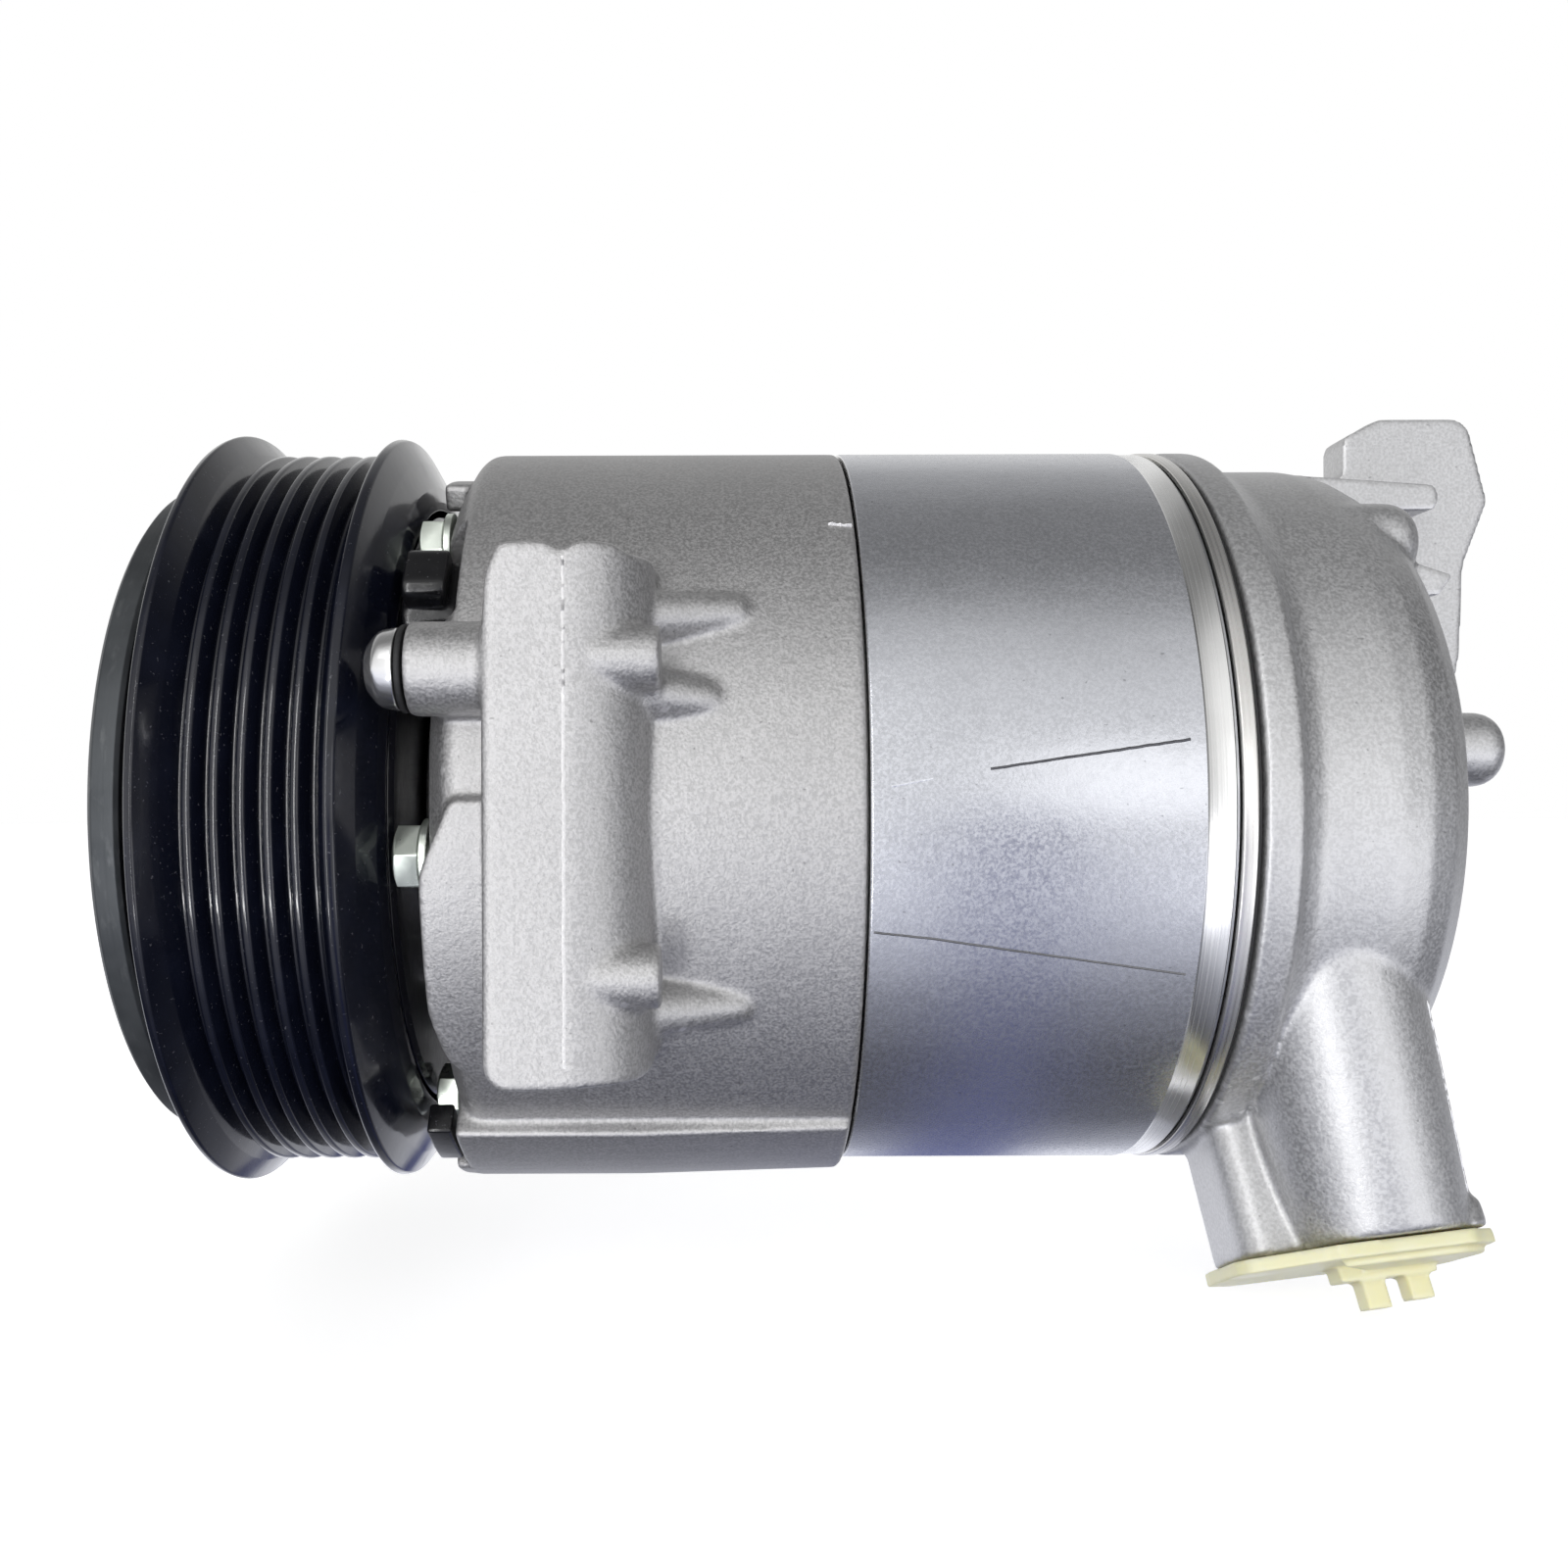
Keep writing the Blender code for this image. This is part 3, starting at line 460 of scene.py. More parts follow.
def cast_metal(name, colour, grain, depth, roughness, contrast=0.5):
    """Blasted aluminium casting: pebbled skin, soft blotches, brighter rubbed edges and a few dark pits."""
    coat = Coat(name, colour, roughness, 0.88)
    pebbles = coat.noise(grain, 2.5)
    coarse = coat.noise(grain * 2.7, 2.0)
    blotches = coat.noise(17.0, 3.0)
    coat.tint(coat.ramp(blotches, 0.35, 0.7, 0.0, 0.5), tuple(0.87 * c for c in colour))
    coat.tint(coat.ramp(pebbles, 0.4, 0.6, contrast, 0.0), tuple(0.55 * c for c in colour))
    coat.tint(coat.ramp(coarse, 0.34, 0.5, 0.14, 0.0), tuple(0.6 * c for c in colour))
    pits = coat.ramp(coat.noise(0.6, 0.0), 0.82, 0.86, 0.0, 0.5)
    coat.tint(pits, tuple(0.3 * c for c in colour))
    coat.tint(coat.edges(0.52, 0.6), tuple(min(1.0, 1.25 * c) for c in colour))
    coat.roughen(pebbles, roughness - 0.07, roughness + 0.08)
    coat.bump(coat.noise(9.0, 2.0), 0.08)
    coat.bump(coarse, depth)
    coat.bump(pebbles, depth)
    return coat.material


def lathe_metal(name, colour, roughness, depth=0.012):
    """Turned metal: fine lathe rings and faint stains."""
    coat = Coat(name, colour, roughness, 1.0)
    rings = coat.noise(0.35, 2.0, place=coat.turning())
    stains = coat.noise(11.0, 3.0)
    coat.tint(coat.ramp(stains, 0.45, 0.75, 0.0, 0.45), tuple(0.75 * c for c in colour))
    coat.tint(coat.ramp(rings, 0.35, 0.65, 0.25, 0.0), tuple(0.6 * c for c in colour))
    coat.roughen(rings, roughness - 0.06, roughness + 0.1)
    coat.bump(rings, depth)
    return coat.material


def plated_metal(name, colour, roughness):
    """Plated or rolled steel: slight orange peel, cloudy finish and rubbed edges."""
    coat = Coat(name, colour, roughness, 0.95)
    clouds = coat.noise(3.5, 3.0)
    coat.tint(coat.ramp(clouds, 0.4, 0.7, 0.0, 0.5), tuple(0.7 * c for c in colour))
    coat.tint(coat.edges(0.53, 0.62), tuple(min(1.0, 1.3 * c) for c in colour))
    coat.roughen(clouds, roughness - 0.06, roughness + 0.12)
    coat.bump(coat.noise(0.8, 2.0), 0.012)
    return coat.material


def friction_metal():
    """The armature: dark worn steel with lathe rings, scuffs and a rubbed rim."""
    coat = Coat("friction_steel", (0.06, 0.065, 0.07), 0.45, 0.7)
    scuffs = coat.noise(1.2, 4.0, (1.0, 0.35, 0.35))
    cloud = coat.noise(9.0, 4.0)
    coat.tint(coat.ramp(cloud, 0.4, 0.7, 0.0, 0.7), (0.1, 0.107, 0.112))
    coat.tint(coat.ramp(scuffs, 0.58, 0.75, 0.0, 0.5), (0.14, 0.147, 0.15))
    coat.roughen(cloud, 0.38, 0.58)
    coat.bump(coat.noise(0.5, 2.0, place=coat.turning()), 0.02)
    coat.bump(scuffs, 0.03)
    return coat.material


def black_paint(name, colour, roughness, peel):
    """Glossy black paint or potting resin: slight orange peel, dust and thin spots."""
    coat = Coat(name, colour, roughness, 0.0, coat_weight=0.15, coat_roughness=0.05, specular_ior_level=0.45)
    cloud = coat.noise(6.0, 3.0)
    dust = coat.noise(0.5, 1.0)
    coat.tint(coat.ramp(cloud, 0.45, 0.75, 0.0, 0.5), tuple(2.0 * c for c in colour))
    coat.tint(coat.ramp(dust, 0.7, 0.78, 0.0, 0.3), (0.2, 0.2, 0.22))
    coat.roughen(cloud, roughness - 0.03, roughness + 0.1)
    coat.bump(coat.noise(1.6, 2.0), peel)
    return coat.material


def moulded_rubber():
    """Matt black rubber or gasket, with a fine pale speckle."""
    coat = Coat("rubber", (0.013, 0.013, 0.014), 0.6, 0.0)
    speckle = coat.noise(0.4, 2.0)
    coat.tint(coat.ramp(speckle, 0.5, 0.8, 0.0, 0.6), (0.04, 0.04, 0.042))
    coat.roughen(speckle, 0.5, 0.75)
    coat.bump(speckle, 0.02)
    return coat.material


def cap_plastic():
    """Soft natural plastic, slightly see-through, with flow clouds and painted shade in its hollows."""
    coat = Coat("cap_plastic", (0.83, 0.79, 0.5), 0.38, 0.0, subsurface_weight=0.35,
                subsurface_scale=0.004, transmission_weight=0.08)
    coat.put("Subsurface Radius", (1.0, 0.8, 0.3))
    cloud = coat.noise(5.0, 3.0)
    coat.tint(coat.ramp(cloud, 0.4, 0.7, 0.0, 0.6), (0.87, 0.85, 0.62))
    # Painted shade: darker, deeper yellow where the surface curves inwards, in the hollows of the moulding.
    coat.tint(coat.edges(0.5, 0.42), (0.7, 0.64, 0.34))
    coat.roughen(cloud, 0.3, 0.48)
    coat.bump(coat.noise(2.2, 2.0), 0.05)
    coat.bump(coat.noise(0.35, 2.0), 0.01)
    return coat.material


HOUSING_SKIN = cast_metal("housing_casting", (0.54, 0.535, 0.535), 0.42, 0.06, 0.5, 0.55)
BLOCK_SKIN = cast_metal("block_casting", (0.58, 0.59, 0.625), 0.45, 0.014, 0.25, 0.25)
# The dark casting skin below is painted shade: it stands in for the shadow along the upper and lower cold
# folds.
FOLD_SHADE_SKIN = cast_metal("fold", (0.2, 0.2, 0.21), 0.5, 0.05, 0.5)
HEAD_SKIN = cast_metal("head_casting", (0.62, 0.62, 0.625), 0.5, 0.035, 0.45, 0.45)
MACHINED_SKIN = lathe_metal("machined_aluminium", (0.93, 0.93, 0.92), 0.2, 0.006)
LOOKS = {
    "cast_aluminium": HEAD_SKIN,
    "machined_steel": lathe_metal("machined_steel", (0.72, 0.71, 0.69), 0.26),
    "friction_steel": friction_metal(),
    "pulley_black": black_paint("pulley_black", (0.004, 0.005, 0.011), 0.12, 0.01),
    "clutch_steel": lathe_metal("clutch_steel", (0.34, 0.34, 0.35), 0.36),
    "spring_steel": plated_metal("spring_steel", (0.38, 0.39, 0.4), 0.32),
    "bearing_steel": lathe_metal("bearing_steel", (0.62, 0.62, 0.63), 0.2),
    "bright_steel": plated_metal("bright_steel", (0.8, 0.8, 0.8), 0.14),
    "zinc": plated_metal("zinc", (0.72, 0.77, 0.7), 0.3),
    "coil_black": black_paint("coil_black", (0.004, 0.004, 0.008), 0.16, 0.05),
    "black_plastic": black_paint("black_plastic", (0.005, 0.005, 0.006), 0.2, 0.03),
    "copper": lathe_metal("copper", (0.72, 0.33, 0.17), 0.35, 0.05),
    "rubber": moulded_rubber(),
    "bronze": lathe_metal("bronze", (0.5, 0.35, 0.2), 0.34),
    "brass": lathe_metal("brass", (0.76, 0.6, 0.3), 0.28),
    "piston_alloy": lathe_metal("piston_alloy", (0.7, 0.7, 0.72), 0.3),
    "cap_plastic": cap_plastic(),
}


# ---------------------------------------------------------------------- pieces

def armature():
    """The clutch plate with its machined front rings, and the three rivets that hold it to the spring."""
    plate = turned([
        (0.0, ARMATURE_BORE_R, 0.3), (0.0, 35.0, 0), (0.35, 35.3, 0), (0.35, 42.5, 0), (0.0, 42.8, 0),
        (0.0, 52.9, 0.5), (0.8, 53.8, 0.5), (3.9, ARMATURE_R, 0.3), (ARMATURE_BACK, ARMATURE_R - 0.5, 0.1),
        (ARMATURE_BACK, ARMATURE_BORE_R, 0.2)])
    piece("clutch_disc", plate, "armature", "friction_steel", "armature_plate")
    rivet = turned([(-2.4, 0, 0), (-2.4, 1.4, 0.3), (-1.5, 2.9, 0.4), (-1.45, 2.0, 0), (1.0, 2.0, 0),
                    (1.0, 0, 0)], ROUND)
    for i, place in enumerate(rivet_places(), start=1):
        piece("rivet_%d" % i, moved(rivet, across_shaft(*place)), "armature", "friction_steel",
              coat=LOOKS["bright_steel"])


def spring_and_hub():
    """The three-armed spring plate, the hub that it hangs from, the nut and the threaded shaft end."""
    steps, centre_hole_r, rivet_hole_r, dimple_r = 180, 11.3, 2.5, 2.6
    outline = []
    for i in range(steps):
        angle = 2 * math.pi * i / steps
        lobe = (0.5 + 0.5 * math.cos(3 * (angle - math.pi / 2))) ** 3
        radius = SPRING_INNER_R + SPRING_REACH * lobe
        outline.append((-radius * math.cos(angle), radius * math.sin(angle)))
    holes = [rod((-3, y, z), (1, y, z), rivet_hole_r, SMALL) for y, z in rivet_places()]
    holes.insert(0, rod((-3, 0, 0), (1, 0, 0), centre_hole_r))
    plate = carved(prism(outline, SPRING_FRONT, SPRING_BACK, "X"), "DIFFERENCE", *holes)
    piece("clutch_spring", bevelled(plate, 0.12, 2), "shaft", "spring_steel", "spring_plate")

    hub = turned([
        (-4.2, 9.6, 0.3), (-4.2, 23.2, 0.7), (-3.3, 24.0, 0.4), (-1.7, 24.0, 0.3), (-1.7, 11.0, 0),
        (20.0, 11.0, 0.4), (20.0, 6.9, 0), (6.8, 6.9, 0), (6.8, 9.6, 0)])
    dimple_places = [round_the_shaft(17.0, 30 + 120 * i) for i in range(3)]
    dimples = [rod((-6, y, z), (-3.2, y, z), dimple_r, SMALL) for y, z in dimple_places]
    piece("clutch_hub_turned", carved(hub, "DIFFERENCE", *dimples), "shaft", "clutch_steel", "clutch_hub")

    nut = carved(hexagon(1.0, 6.4, 7.5, 0.6), "DIFFERENCE", rod((0, 0, 0), (8, 0, 0), 5.4, ROUND))
    piece("hub_nut", nut, "shaft", "zinc", "shaft_nut")

    thread, x = [(0.0, 0, 0), (0.0, 4.2, 0), (0.5, 4.9, 0)], 0.9
    while x < THREAD_END:
        thread += [(x, THREAD_ROOT_R, 0), (x + THREAD_PITCH / 2, THREAD_CREST_R, 0)]
        x += THREAD_PITCH
    shaft = turned(thread + [
        (7.1, THREAD_CREST_R, 0), (7.1, 6.6, 0.3), (21.0, 6.6, 0), (22.5, 8.0, 0.4), (125.0, 8.0, 0.3),
        (126.0, 7.2, 0.2), (126.0, 0, 0)], ROUND)
    piece("shaft_turned", shaft, "shaft", "bright_steel", "drive_shaft")


def ball_groove(shoulder_r, groove_r, direction):
    """The four corners of a race's groove, in the direction in which the outline runs along the shaft."""
    return [(RACE_GROOVE_X + direction * x, radius, 0)
            for x, radius in ((-2.95, shoulder_r), (-1.45, groove_r), (1.45, groove_r), (2.95, shoulder_r))]


def pulley():
    """The six-groove pulley with its bell-shaped flanges, and the bearing's races and shields."""
    front = [(PULLEY_FRONT, 25.2, 0.3), (PULLEY_FRONT, 30.0, 0), (5.3, 30.3, 0), (5.3, 33.0, 0),
             (PULLEY_FRONT, 33.3, 0), (PULLEY_FRONT, 53.1, 0.4), (5.9, 54.9, 1.0), (7.5, 57.4, 2.5),
             (8.55, 61.9, 0.7), (9.75, FLANGE_R, 0.5), (11.9, 59.2, 1.6)]
    grooves = []
    for i in range(GROOVES):
        middle = FIRST_GROOVE + i * GROOVE_PITCH
        crest = middle + GROOVE_PITCH / 2
        grooves += [(middle - 0.22, GROOVE_R, 0.15), (middle + 0.22, GROOVE_R, 0.15)]
        if i < GROOVES - 1:
            grooves += [(crest - 0.52, CREST_R, 0.5), (crest + 0.52, CREST_R, 0.5)]
    rear = [(32.9, 58.8, 1.0), (34.3, 61.7, 0.6), (35.6, 61.4, 0.7), (37.5, 58.0, 3.0), (39.4, 54.0, 2.0),
            (PULLEY_REAR, 51.6, 0.4), (PULLEY_REAR, 50.2, 0.3)]
    cavity = [(13.0, 50.2, 0), (9.5, 48.0, 2.0), (9.5, 32.5, 1.0), (11.0, 30.3, 0), (33.0, 30.3, 0.3),
              (33.0, 27.3, 0.3), (7.4, 27.3, 0), (7.4, 25.2, 0)]
    piece("grooved_pulley", turned(front + grooves + rear + cavity), "pulley", "pulley_black", "pulley")
    for name, x in (("bearing_shield_front", 8.2), ("bearing_shield_rear", 29.2)):
        piece(name, ring(x, x + 0.4, 20.3, 24.2, 0.1, 0.1, ROUND * 2), "pulley", "rubber")
    outer = turned([(RACE_FRONT, 24.3, 0.2), (RACE_FRONT, 27.0, 0.3), (RACE_REAR, 27.0, 0.3),
                    (RACE_REAR, 24.3, 0.2), *ball_groove(24.3, 25.6, -1)], ROUND * 2)
    piece("race_outer", outer, "pulley", "bearing_steel", "bearing_outer_race")
    inner = turned([(RACE_FRONT, 17.55, 0.3), (RACE_FRONT, 19.9, 0.2), *ball_groove(19.9, 18.6, 1),
                    (RACE_REAR, 19.9, 0.2), (RACE_REAR, 17.55, 0.3)], ROUND * 2)
    piece("race_inner", inner, "case", "bearing_steel", "bearing_inner_race")


def coil():
    """The field coil's steel can, and the connector that stands out behind it."""
    can = turned([
        (12.6, 46.4, 0.2), (12.6, 49.2, 0.5), (39.8, 49.2, 0.3), (40.5, 48.5, 0.2), (40.5, 17.6, 0.2),
        (38.4, 17.6, 0), (38.4, 30.9, 0.5), (12.6, 30.9, 0.3), (12.6, 33.0, 0.2), (38.0, 33.0, 0),
        (38.0, 46.4, 0)])
    piece("coil_shell", can, "case", "coil_black", "coil_can")
    body = joined(
        prism(rounded([(-6.5, 45.3, 1), (6.5, 45.3, 1), (6.5, 53.5, 3), (-6.5, 53.5, 3)]), 40.9, 48.8, "X"),
        prism(rounded([(-4.4, 50, 1), (4.4, 50, 1), (4.4, 57.4, 2), (-4.4, 57.4, 2)]), 41.4, 47.6, "X"),
        rod((40.9, 5.2, 46.5), (45.9, 5.2, 46.5), 3.0), rod((40.9, -5.2, 46.5), (48.8, -5.2, 46.5), 3.0))
    turn = Matrix.Rotation(math.radians(90 - CONNECTOR_ANGLE), 4, "X")
    piece("coil_plug_socket", moved(melted(body, 0.25, 40), turn), "case", "black_plastic", "coil_connector")


def bar(side):
    """A mounting bar with a rounded rear edge and two soft lobes at its top end."""
    across = rounded([(BAR_FRONT, 42.0, 0), (BAR_FRONT, BAR_Y, 0.9), (BAR_REAR, BAR_Y, 10.7),
                      (BAR_REAR, 42.0, 0)], steps=24)
    column = prism([(x, y * side) for x, y in across], BAR_BOTTOM - 1, BAR_TOP + 1, "Z")
    dip = BAR_TOP - 1.1
    face = rounded([
        (BAR_FRONT, BAR_BOTTOM, 3.6), (BAR_REAR, BAR_BOTTOM + 0.9, 2.4), (BAR_REAR, dip, 0.6),
        (73.8, dip, 1.0), (71.8, BAR_TOP, 1.5), (68.0, BAR_TOP, 1.8), (65.6, dip, 1.2), (63.2, BAR_TOP, 1.8),
        (57.6, BAR_TOP, 2.0), (BAR_FRONT + 0.6, 29.5, 4.0), (BAR_FRONT, 22.0, 6.0)])
    return carved(column, "INTERSECT", prism(face, 40.0 * side, (BAR_Y + 1) * side, "Y"))


def front_housing():
    """The clutch-end casting: body, two mounting bars, plug boss, tapered ribs, top lip and bottom band."""
    ring_groove_r = 15.9
    body = turned([
        (4.0, 0, 0), (4.0, SNOUT_R, 0.5), (5.6, SNOUT_R, 0), (5.6, ring_groove_r, 0), (7.3, ring_groove_r, 0),
        (7.3, SNOUT_R, 0), (36.6, SNOUT_R, 0), (36.6, ring_groove_r, 0), (38.3, ring_groove_r, 0),
        (38.3, SNOUT_R, 0), (40.8, SNOUT_R, 0), (40.8, 29.0, 0), (FACE_X, 29.6, 0), (FACE_X, 53.8, 1.8),
        (49.4, BODY_R, 3.0), (SEAM_X, BODY_R, 0.2), (SEAM_X, 0, 0)])
    top_lip = prism(arc_band(50.7, 55.0, 68, 104), 42.3, 50.5, "X")
    pad = prism(rounded([(50.2, 1.0, 1.5), (58, 1.0, 0), (58, -38, 0), (48.5, -38, 6), (46.0, -28, 10),
                         (46.0, -9.0, 8)]), -62.0, -40.0, "Y")
    bottom_lip = prism(arc_band(56.4, 61.4, -126, -66), 44.6, 50.0, "X")
    band_r, band_rear_r, taper_x = 61.6, 60.7, 73.0
    band = arc_band(55.0, band_r, -129, -51)
    extras = [
        bar(-1), bar(1), top_lip, carved(pad, "INTERSECT", ring(44, 60, 40.0, 60.5)), bottom_lip,
        prism(band, 46.9, taper_x, "X"), prism(band, taper_x, 104.6, "X", end_scale=band_rear_r / band_r),
        rod((45.2, PLUG_Y, PLUG_Z), (60, PLUG_Y, PLUG_Z), 6.2)]
    for z in (19.1, -21.9):
        extras.append(rod((66, -61.8, z), (78, -61.8, z), 4.2))
    tip_r = 2.5
    fingers = (((72, -55.6, 25.0), (87.6, -52.0, 26.2), 4.0), ((72, -58.6, 15.4), (83.8, -56.0, 14.2), 3.8),
               ((72, -55.0, -27.4), (87.6, -51.4, -27.0), 4.4))
    for root, tip, radius in fingers:
        extras.append(rod(root, tip, radius, end_radius=tip_r))
        extras.append(ball(tip, tip_r))
    inside = turned([
        (3, 0, 0), (3, 14.0, 0), (40.0, 14.0, 0), (40.0, 9.5, 0), (44.5, 9.5, 0), (44.5, BEARING_SEAT_R, 0),
        (60.0, BEARING_SEAT_R, 0), (60.0, 50.8, 1.5), (62.5, CHAMBER_R, 1.0), (SEAM_X + 1, CHAMBER_R, 0),
        (SEAM_X + 1, 0, 0)])
    bar_holes = [rod((BAR_HOLE_X, y, -60), (BAR_HOLE_X, y, 60), MOUNT_HOLE_R)
                 for y in (-BAR_HOLE_Y, BAR_HOLE_Y)]
    plug_hole = rod((42, PLUG_Y, PLUG_Z), (53, PLUG_Y, PLUG_Z), 3.3)
    notch = prism(arc_band(45.0, 62.0, CONNECTOR_ANGLE - 9, CONNECTOR_ANGLE + 9), 45.0, 49.6, "X")
    solid = melted(joined(body, *extras), VOXEL, 6)
    solid = carved(solid, "DIFFERENCE", inside, *bolt_holes(40, 64), *bar_holes, plug_hole, notch)
    housing = melted(solid, VOXEL, 4)
    piece("housing_casting", housing, "case", "cast_aluminium", "front_housing", coat=HOUSING_SKIN)


def along_case(points, steps=40):
    """Places and outward directions on the case, through (x, radius, angle) points."""
    path = []
    for start, end in zip(points, points[1:]):
        for step in range(steps):
            x, radius, angle = (a + (b - a) * step / steps for a, b in zip(start, end))
            y, z = round_the_shaft(radius, angle)
            path.append((Vector((x, y, z)), Vector((0, y, z)).normalized()))
    return path


def along_line(start, end, outward, steps=90):
    """Places along a straight line, with one outward direction."""
    return [(Vector(start).lerp(Vector(end), step / steps), Vector(outward).normalized())
            for step in range(steps + 1)]


def flash_line(name, path, width, height, jitter, coat):
    """A thin raised line of flash with a slightly ragged crest."""
    shape = bmesh.new()
    rows = []
    for i, (place, out) in enumerate(path):
        run = path[min(i + 1, len(path) - 1)][0] - path[max(i - 1, 0)][0]
        side = out.cross(run).normalized()
        ragged = height * (1.0 + jitter * noise.noise(place * 1.7))
        centre = place + side * jitter * 0.12 * noise.noise(place * 1.1)
        section = (side * width / 2 - out * 0.4, side * width * 0.4, out * ragged,
                   -side * width * 0.4, -side * width / 2 - out * 0.4)
        rows.append([shape.verts.new((centre + offset) * MM) for offset in section])
    for first, second in zip(rows, rows[1:]):
        for i in range(5):
            shape.faces.new((first[i], first[(i + 1) % 5], second[(i + 1) % 5], second[i]))
    shape.faces.new(rows[0])
    shape.faces.new(rows[-1])
    piece(name, from_bmesh(shape, 50), "case", "cast_aluminium", coat=coat)


def plug():
    """The domed plug in the housing's boss, and the seal under its head."""
    dome = turned([(39.6, 0, 0), (39.6, 3.0, 1.6), (41.4, 5.1, 2.0), (43.9, 5.5, 0.3), (43.9, 2.9, 0),
                   (52.0, 2.9, 0), (52.0, 0, 0)], ROUND)
    place = across_shaft(PLUG_Y, PLUG_Z)
    piece("plug_dome", moved(dome, place), "case", "bright_steel", "domed_plug")
    seal = ring(44.1, 44.9, 3.3, 5.8, 0.35, 0.1, ROUND)
    piece("plug_seal", moved(seal, place), "case", "rubber", "plug_seal_ring")


def cylinder_block():
    """The block: cast skin, a machined band at the rear, six cylinders, and the O-ring groove at the seam."""
    cast_end, band_r, groove_end, groove_inner_r, groove_outer_r = 149.4, 58.8, 107.6, 54.9, 57.3
    front_x = SEAM_X + GAP
    block = turned([
        (front_x, 0, 0), (front_x, groove_inner_r, 0), (groove_end, groove_inner_r, 0),
        (groove_end, groove_outer_r, 0), (front_x, groove_outer_r, 0), (front_x, BODY_R, 0.35),
        (cast_end, BODY_R, 0.2), (cast_end + 0.35, band_r, 0), (BLOCK_END, band_r, 0.15), (BLOCK_END, 0, 0)])
    bearing_seat = rod((100, 0, 0), (130, 0, 0), BEARING_SEAT_R)
    places = [round_the_shaft(PISTON_CIRCLE_R, angle) for angle in PISTON_ANGLES]
    cylinders = [rod((100, y, z), (160, y, z), CYLINDER_R) for y, z in places]
    block = carved(block, "DIFFERENCE", bearing_seat, *cylinders, *bolt_holes(100, 160))
    piece("block_casting", block, "case", "cast_aluminium", "cylinder_block", coat=BLOCK_SKIN)
    block.materials.append(MACHINED_SKIN)
    for face in block.polygons:
        centre = face.center / MM
        radius = math.hypot(centre.y, centre.z)
        if centre.x > cast_end or centre.x < front_x + 0.1 or radius < BODY_R - 1:
            face.material_index = 1


def casting_folds():
    """Three cold folds on the block's near side, two of them darkened with painted shade, and flash on the
    seam, the bar and the suction barrel.
    """
    faint = along_case([(108.0, 59.0, 2.4), (113.5, 58.98, 3.4)])
    upper = along_case([(121.0, 58.98, 4.6), (148.0, 59.0, 8.4)])
    lower = along_case([(105.9, 59.0, -16.6), (113.0, 59.0, -17.4), (148.8, 59.0, -22.9)])
    seam = along_case([(101.2, 58.95, 42.6), (104.6, 59.0, 42.2)])
    flash_line("fold_faint", faint, 0.4, 0.05, 0.3, BLOCK_SKIN)
    # The upper and lower folds wear the dark skin: painted shade along the fold.
    flash_line("fold_upper", upper, 0.5, 0.16, 0.5, FOLD_SHADE_SKIN)
    flash_line("fold_lower", lower, 0.42, 0.14, 0.5, FOLD_SHADE_SKIN)
    flash_line("seam_flash", seam, 0.5, 0.35, 1.0, HOUSING_SKIN)
    for name, low, high, height in (("upper", 14.0, 31.5, 0.09), ("lower", -33.0, 14.0, 0.02)):
        line = along_line((PARTING_X, -BAR_Y, low), (PARTING_X, -BAR_Y, high), (0, -1, 0))
        flash_line("bar_flash_" + name, line, 0.5, height, 1.1, HOUSING_SKIN)
    side = Matrix.Rotation(math.radians(-35), 3, "Z") @ Vector((BARREL_R, 0, 0))
    top = Vector(BARREL_TOP) + Vector((1.4, 0, -7))
    foot = Vector(BARREL_TOP).lerp(Vector(BARREL_FOOT), 0.7)
    flash_line("barrel_flash", along_line(top + side, foot + side, side), 0.5, 0.3, 0.8, HEAD_SKIN)


def bracket():
    """The short black strap that shows below the bar, between the pulley and the housing."""
    strap = prism(arc_band(55.9, 60.4, -64, -52), 42.5, 46.2, "X")
    piece("coil_strap", bevelled(strap, 0.7, 4), "case", "black_plastic")


def valve_plates():
    """The reed plate, valve plate and head gasket whose rims show between the block and the head."""
    low, high, sheet_r, port_circle_r = 150, 160, 58.2, 26.0
    places = [round_the_shaft(port_circle_r, angle) for angle in PISTON_ANGLES]
    ports = [rod((low, y, z), (high, y, z), 3.0, SMALL) for y, z in places]
    reed = ring(153.55, 153.85, 0, sheet_r)
    plate = ring(PLATE_X, PLATE_END, 0, BODY_R, 0.3)
    gasket = ring(156.5, 156.8, 31.5, sheet_r)
    rows = (("reed_sheet", reed, "spring_steel", "suction_reed_plate", ports),
            ("valve_sheet", plate, "machined_steel", "valve_plate", ports),
            ("gasket_sheet", gasket, "rubber", "head_gasket", []))
    for name, mesh, slot, node, cuts in rows:
        mesh = carved(mesh, "DIFFERENCE", *bolt_holes(low, high), *cuts)
        piece(name, mesh, "case", slot, node)


def ear():
    """The rear mounting ear: a block on a shelf, with a flat web that sweeps down to the end face."""
    web = [(184, 44, 0), (193.6, 57.0, 0), (193.6, 63.0, 2), (200.0, EAR_TOP, 1), (214.8, EAR_TOP, 3.5),
           (218.4, 52.0, 2), (214.2, 41.0, 8), (213.6, 26.0, 0), (210.0, 6.0, 5), (200.0, -6.0, 8),
           (186.0, -14.0, 0)]
    left, right = EAR_X - EAR_HALF, EAR_X + EAR_HALF - 2.5
    near, far = EAR_Y - EAR_HALF + 0.6, EAR_Y + EAR_HALF
    block = rounded([(left, near, 3.2), (right, near, 0), (right, far, 5), (left, far, 5)], steps=12)
    foot = [(left - 3, EAR_BOTTOM, 0), (left - 1.4, 55.6, 3), (left + 1, 61.0, 0), (left + 2, EAR_BOTTOM, 0)]
    shelf = rounded([(164.5, 46, 0), (164.5, 54.8, 0), (182, 54.2, 0), (204.6, 52.6, 1.6), (204.6, 48.4, 1.6),
                     (186, 48.2, 0)])
    return [prism(rounded(web), -2.0, 6.0, "Y"), prism(block, EAR_BOTTOM, EAR_TOP, "Z"),
            prism(rounded(foot), near + 3, far - 5, "Y"), prism(shelf, -12.0, 9.0, "Y")]


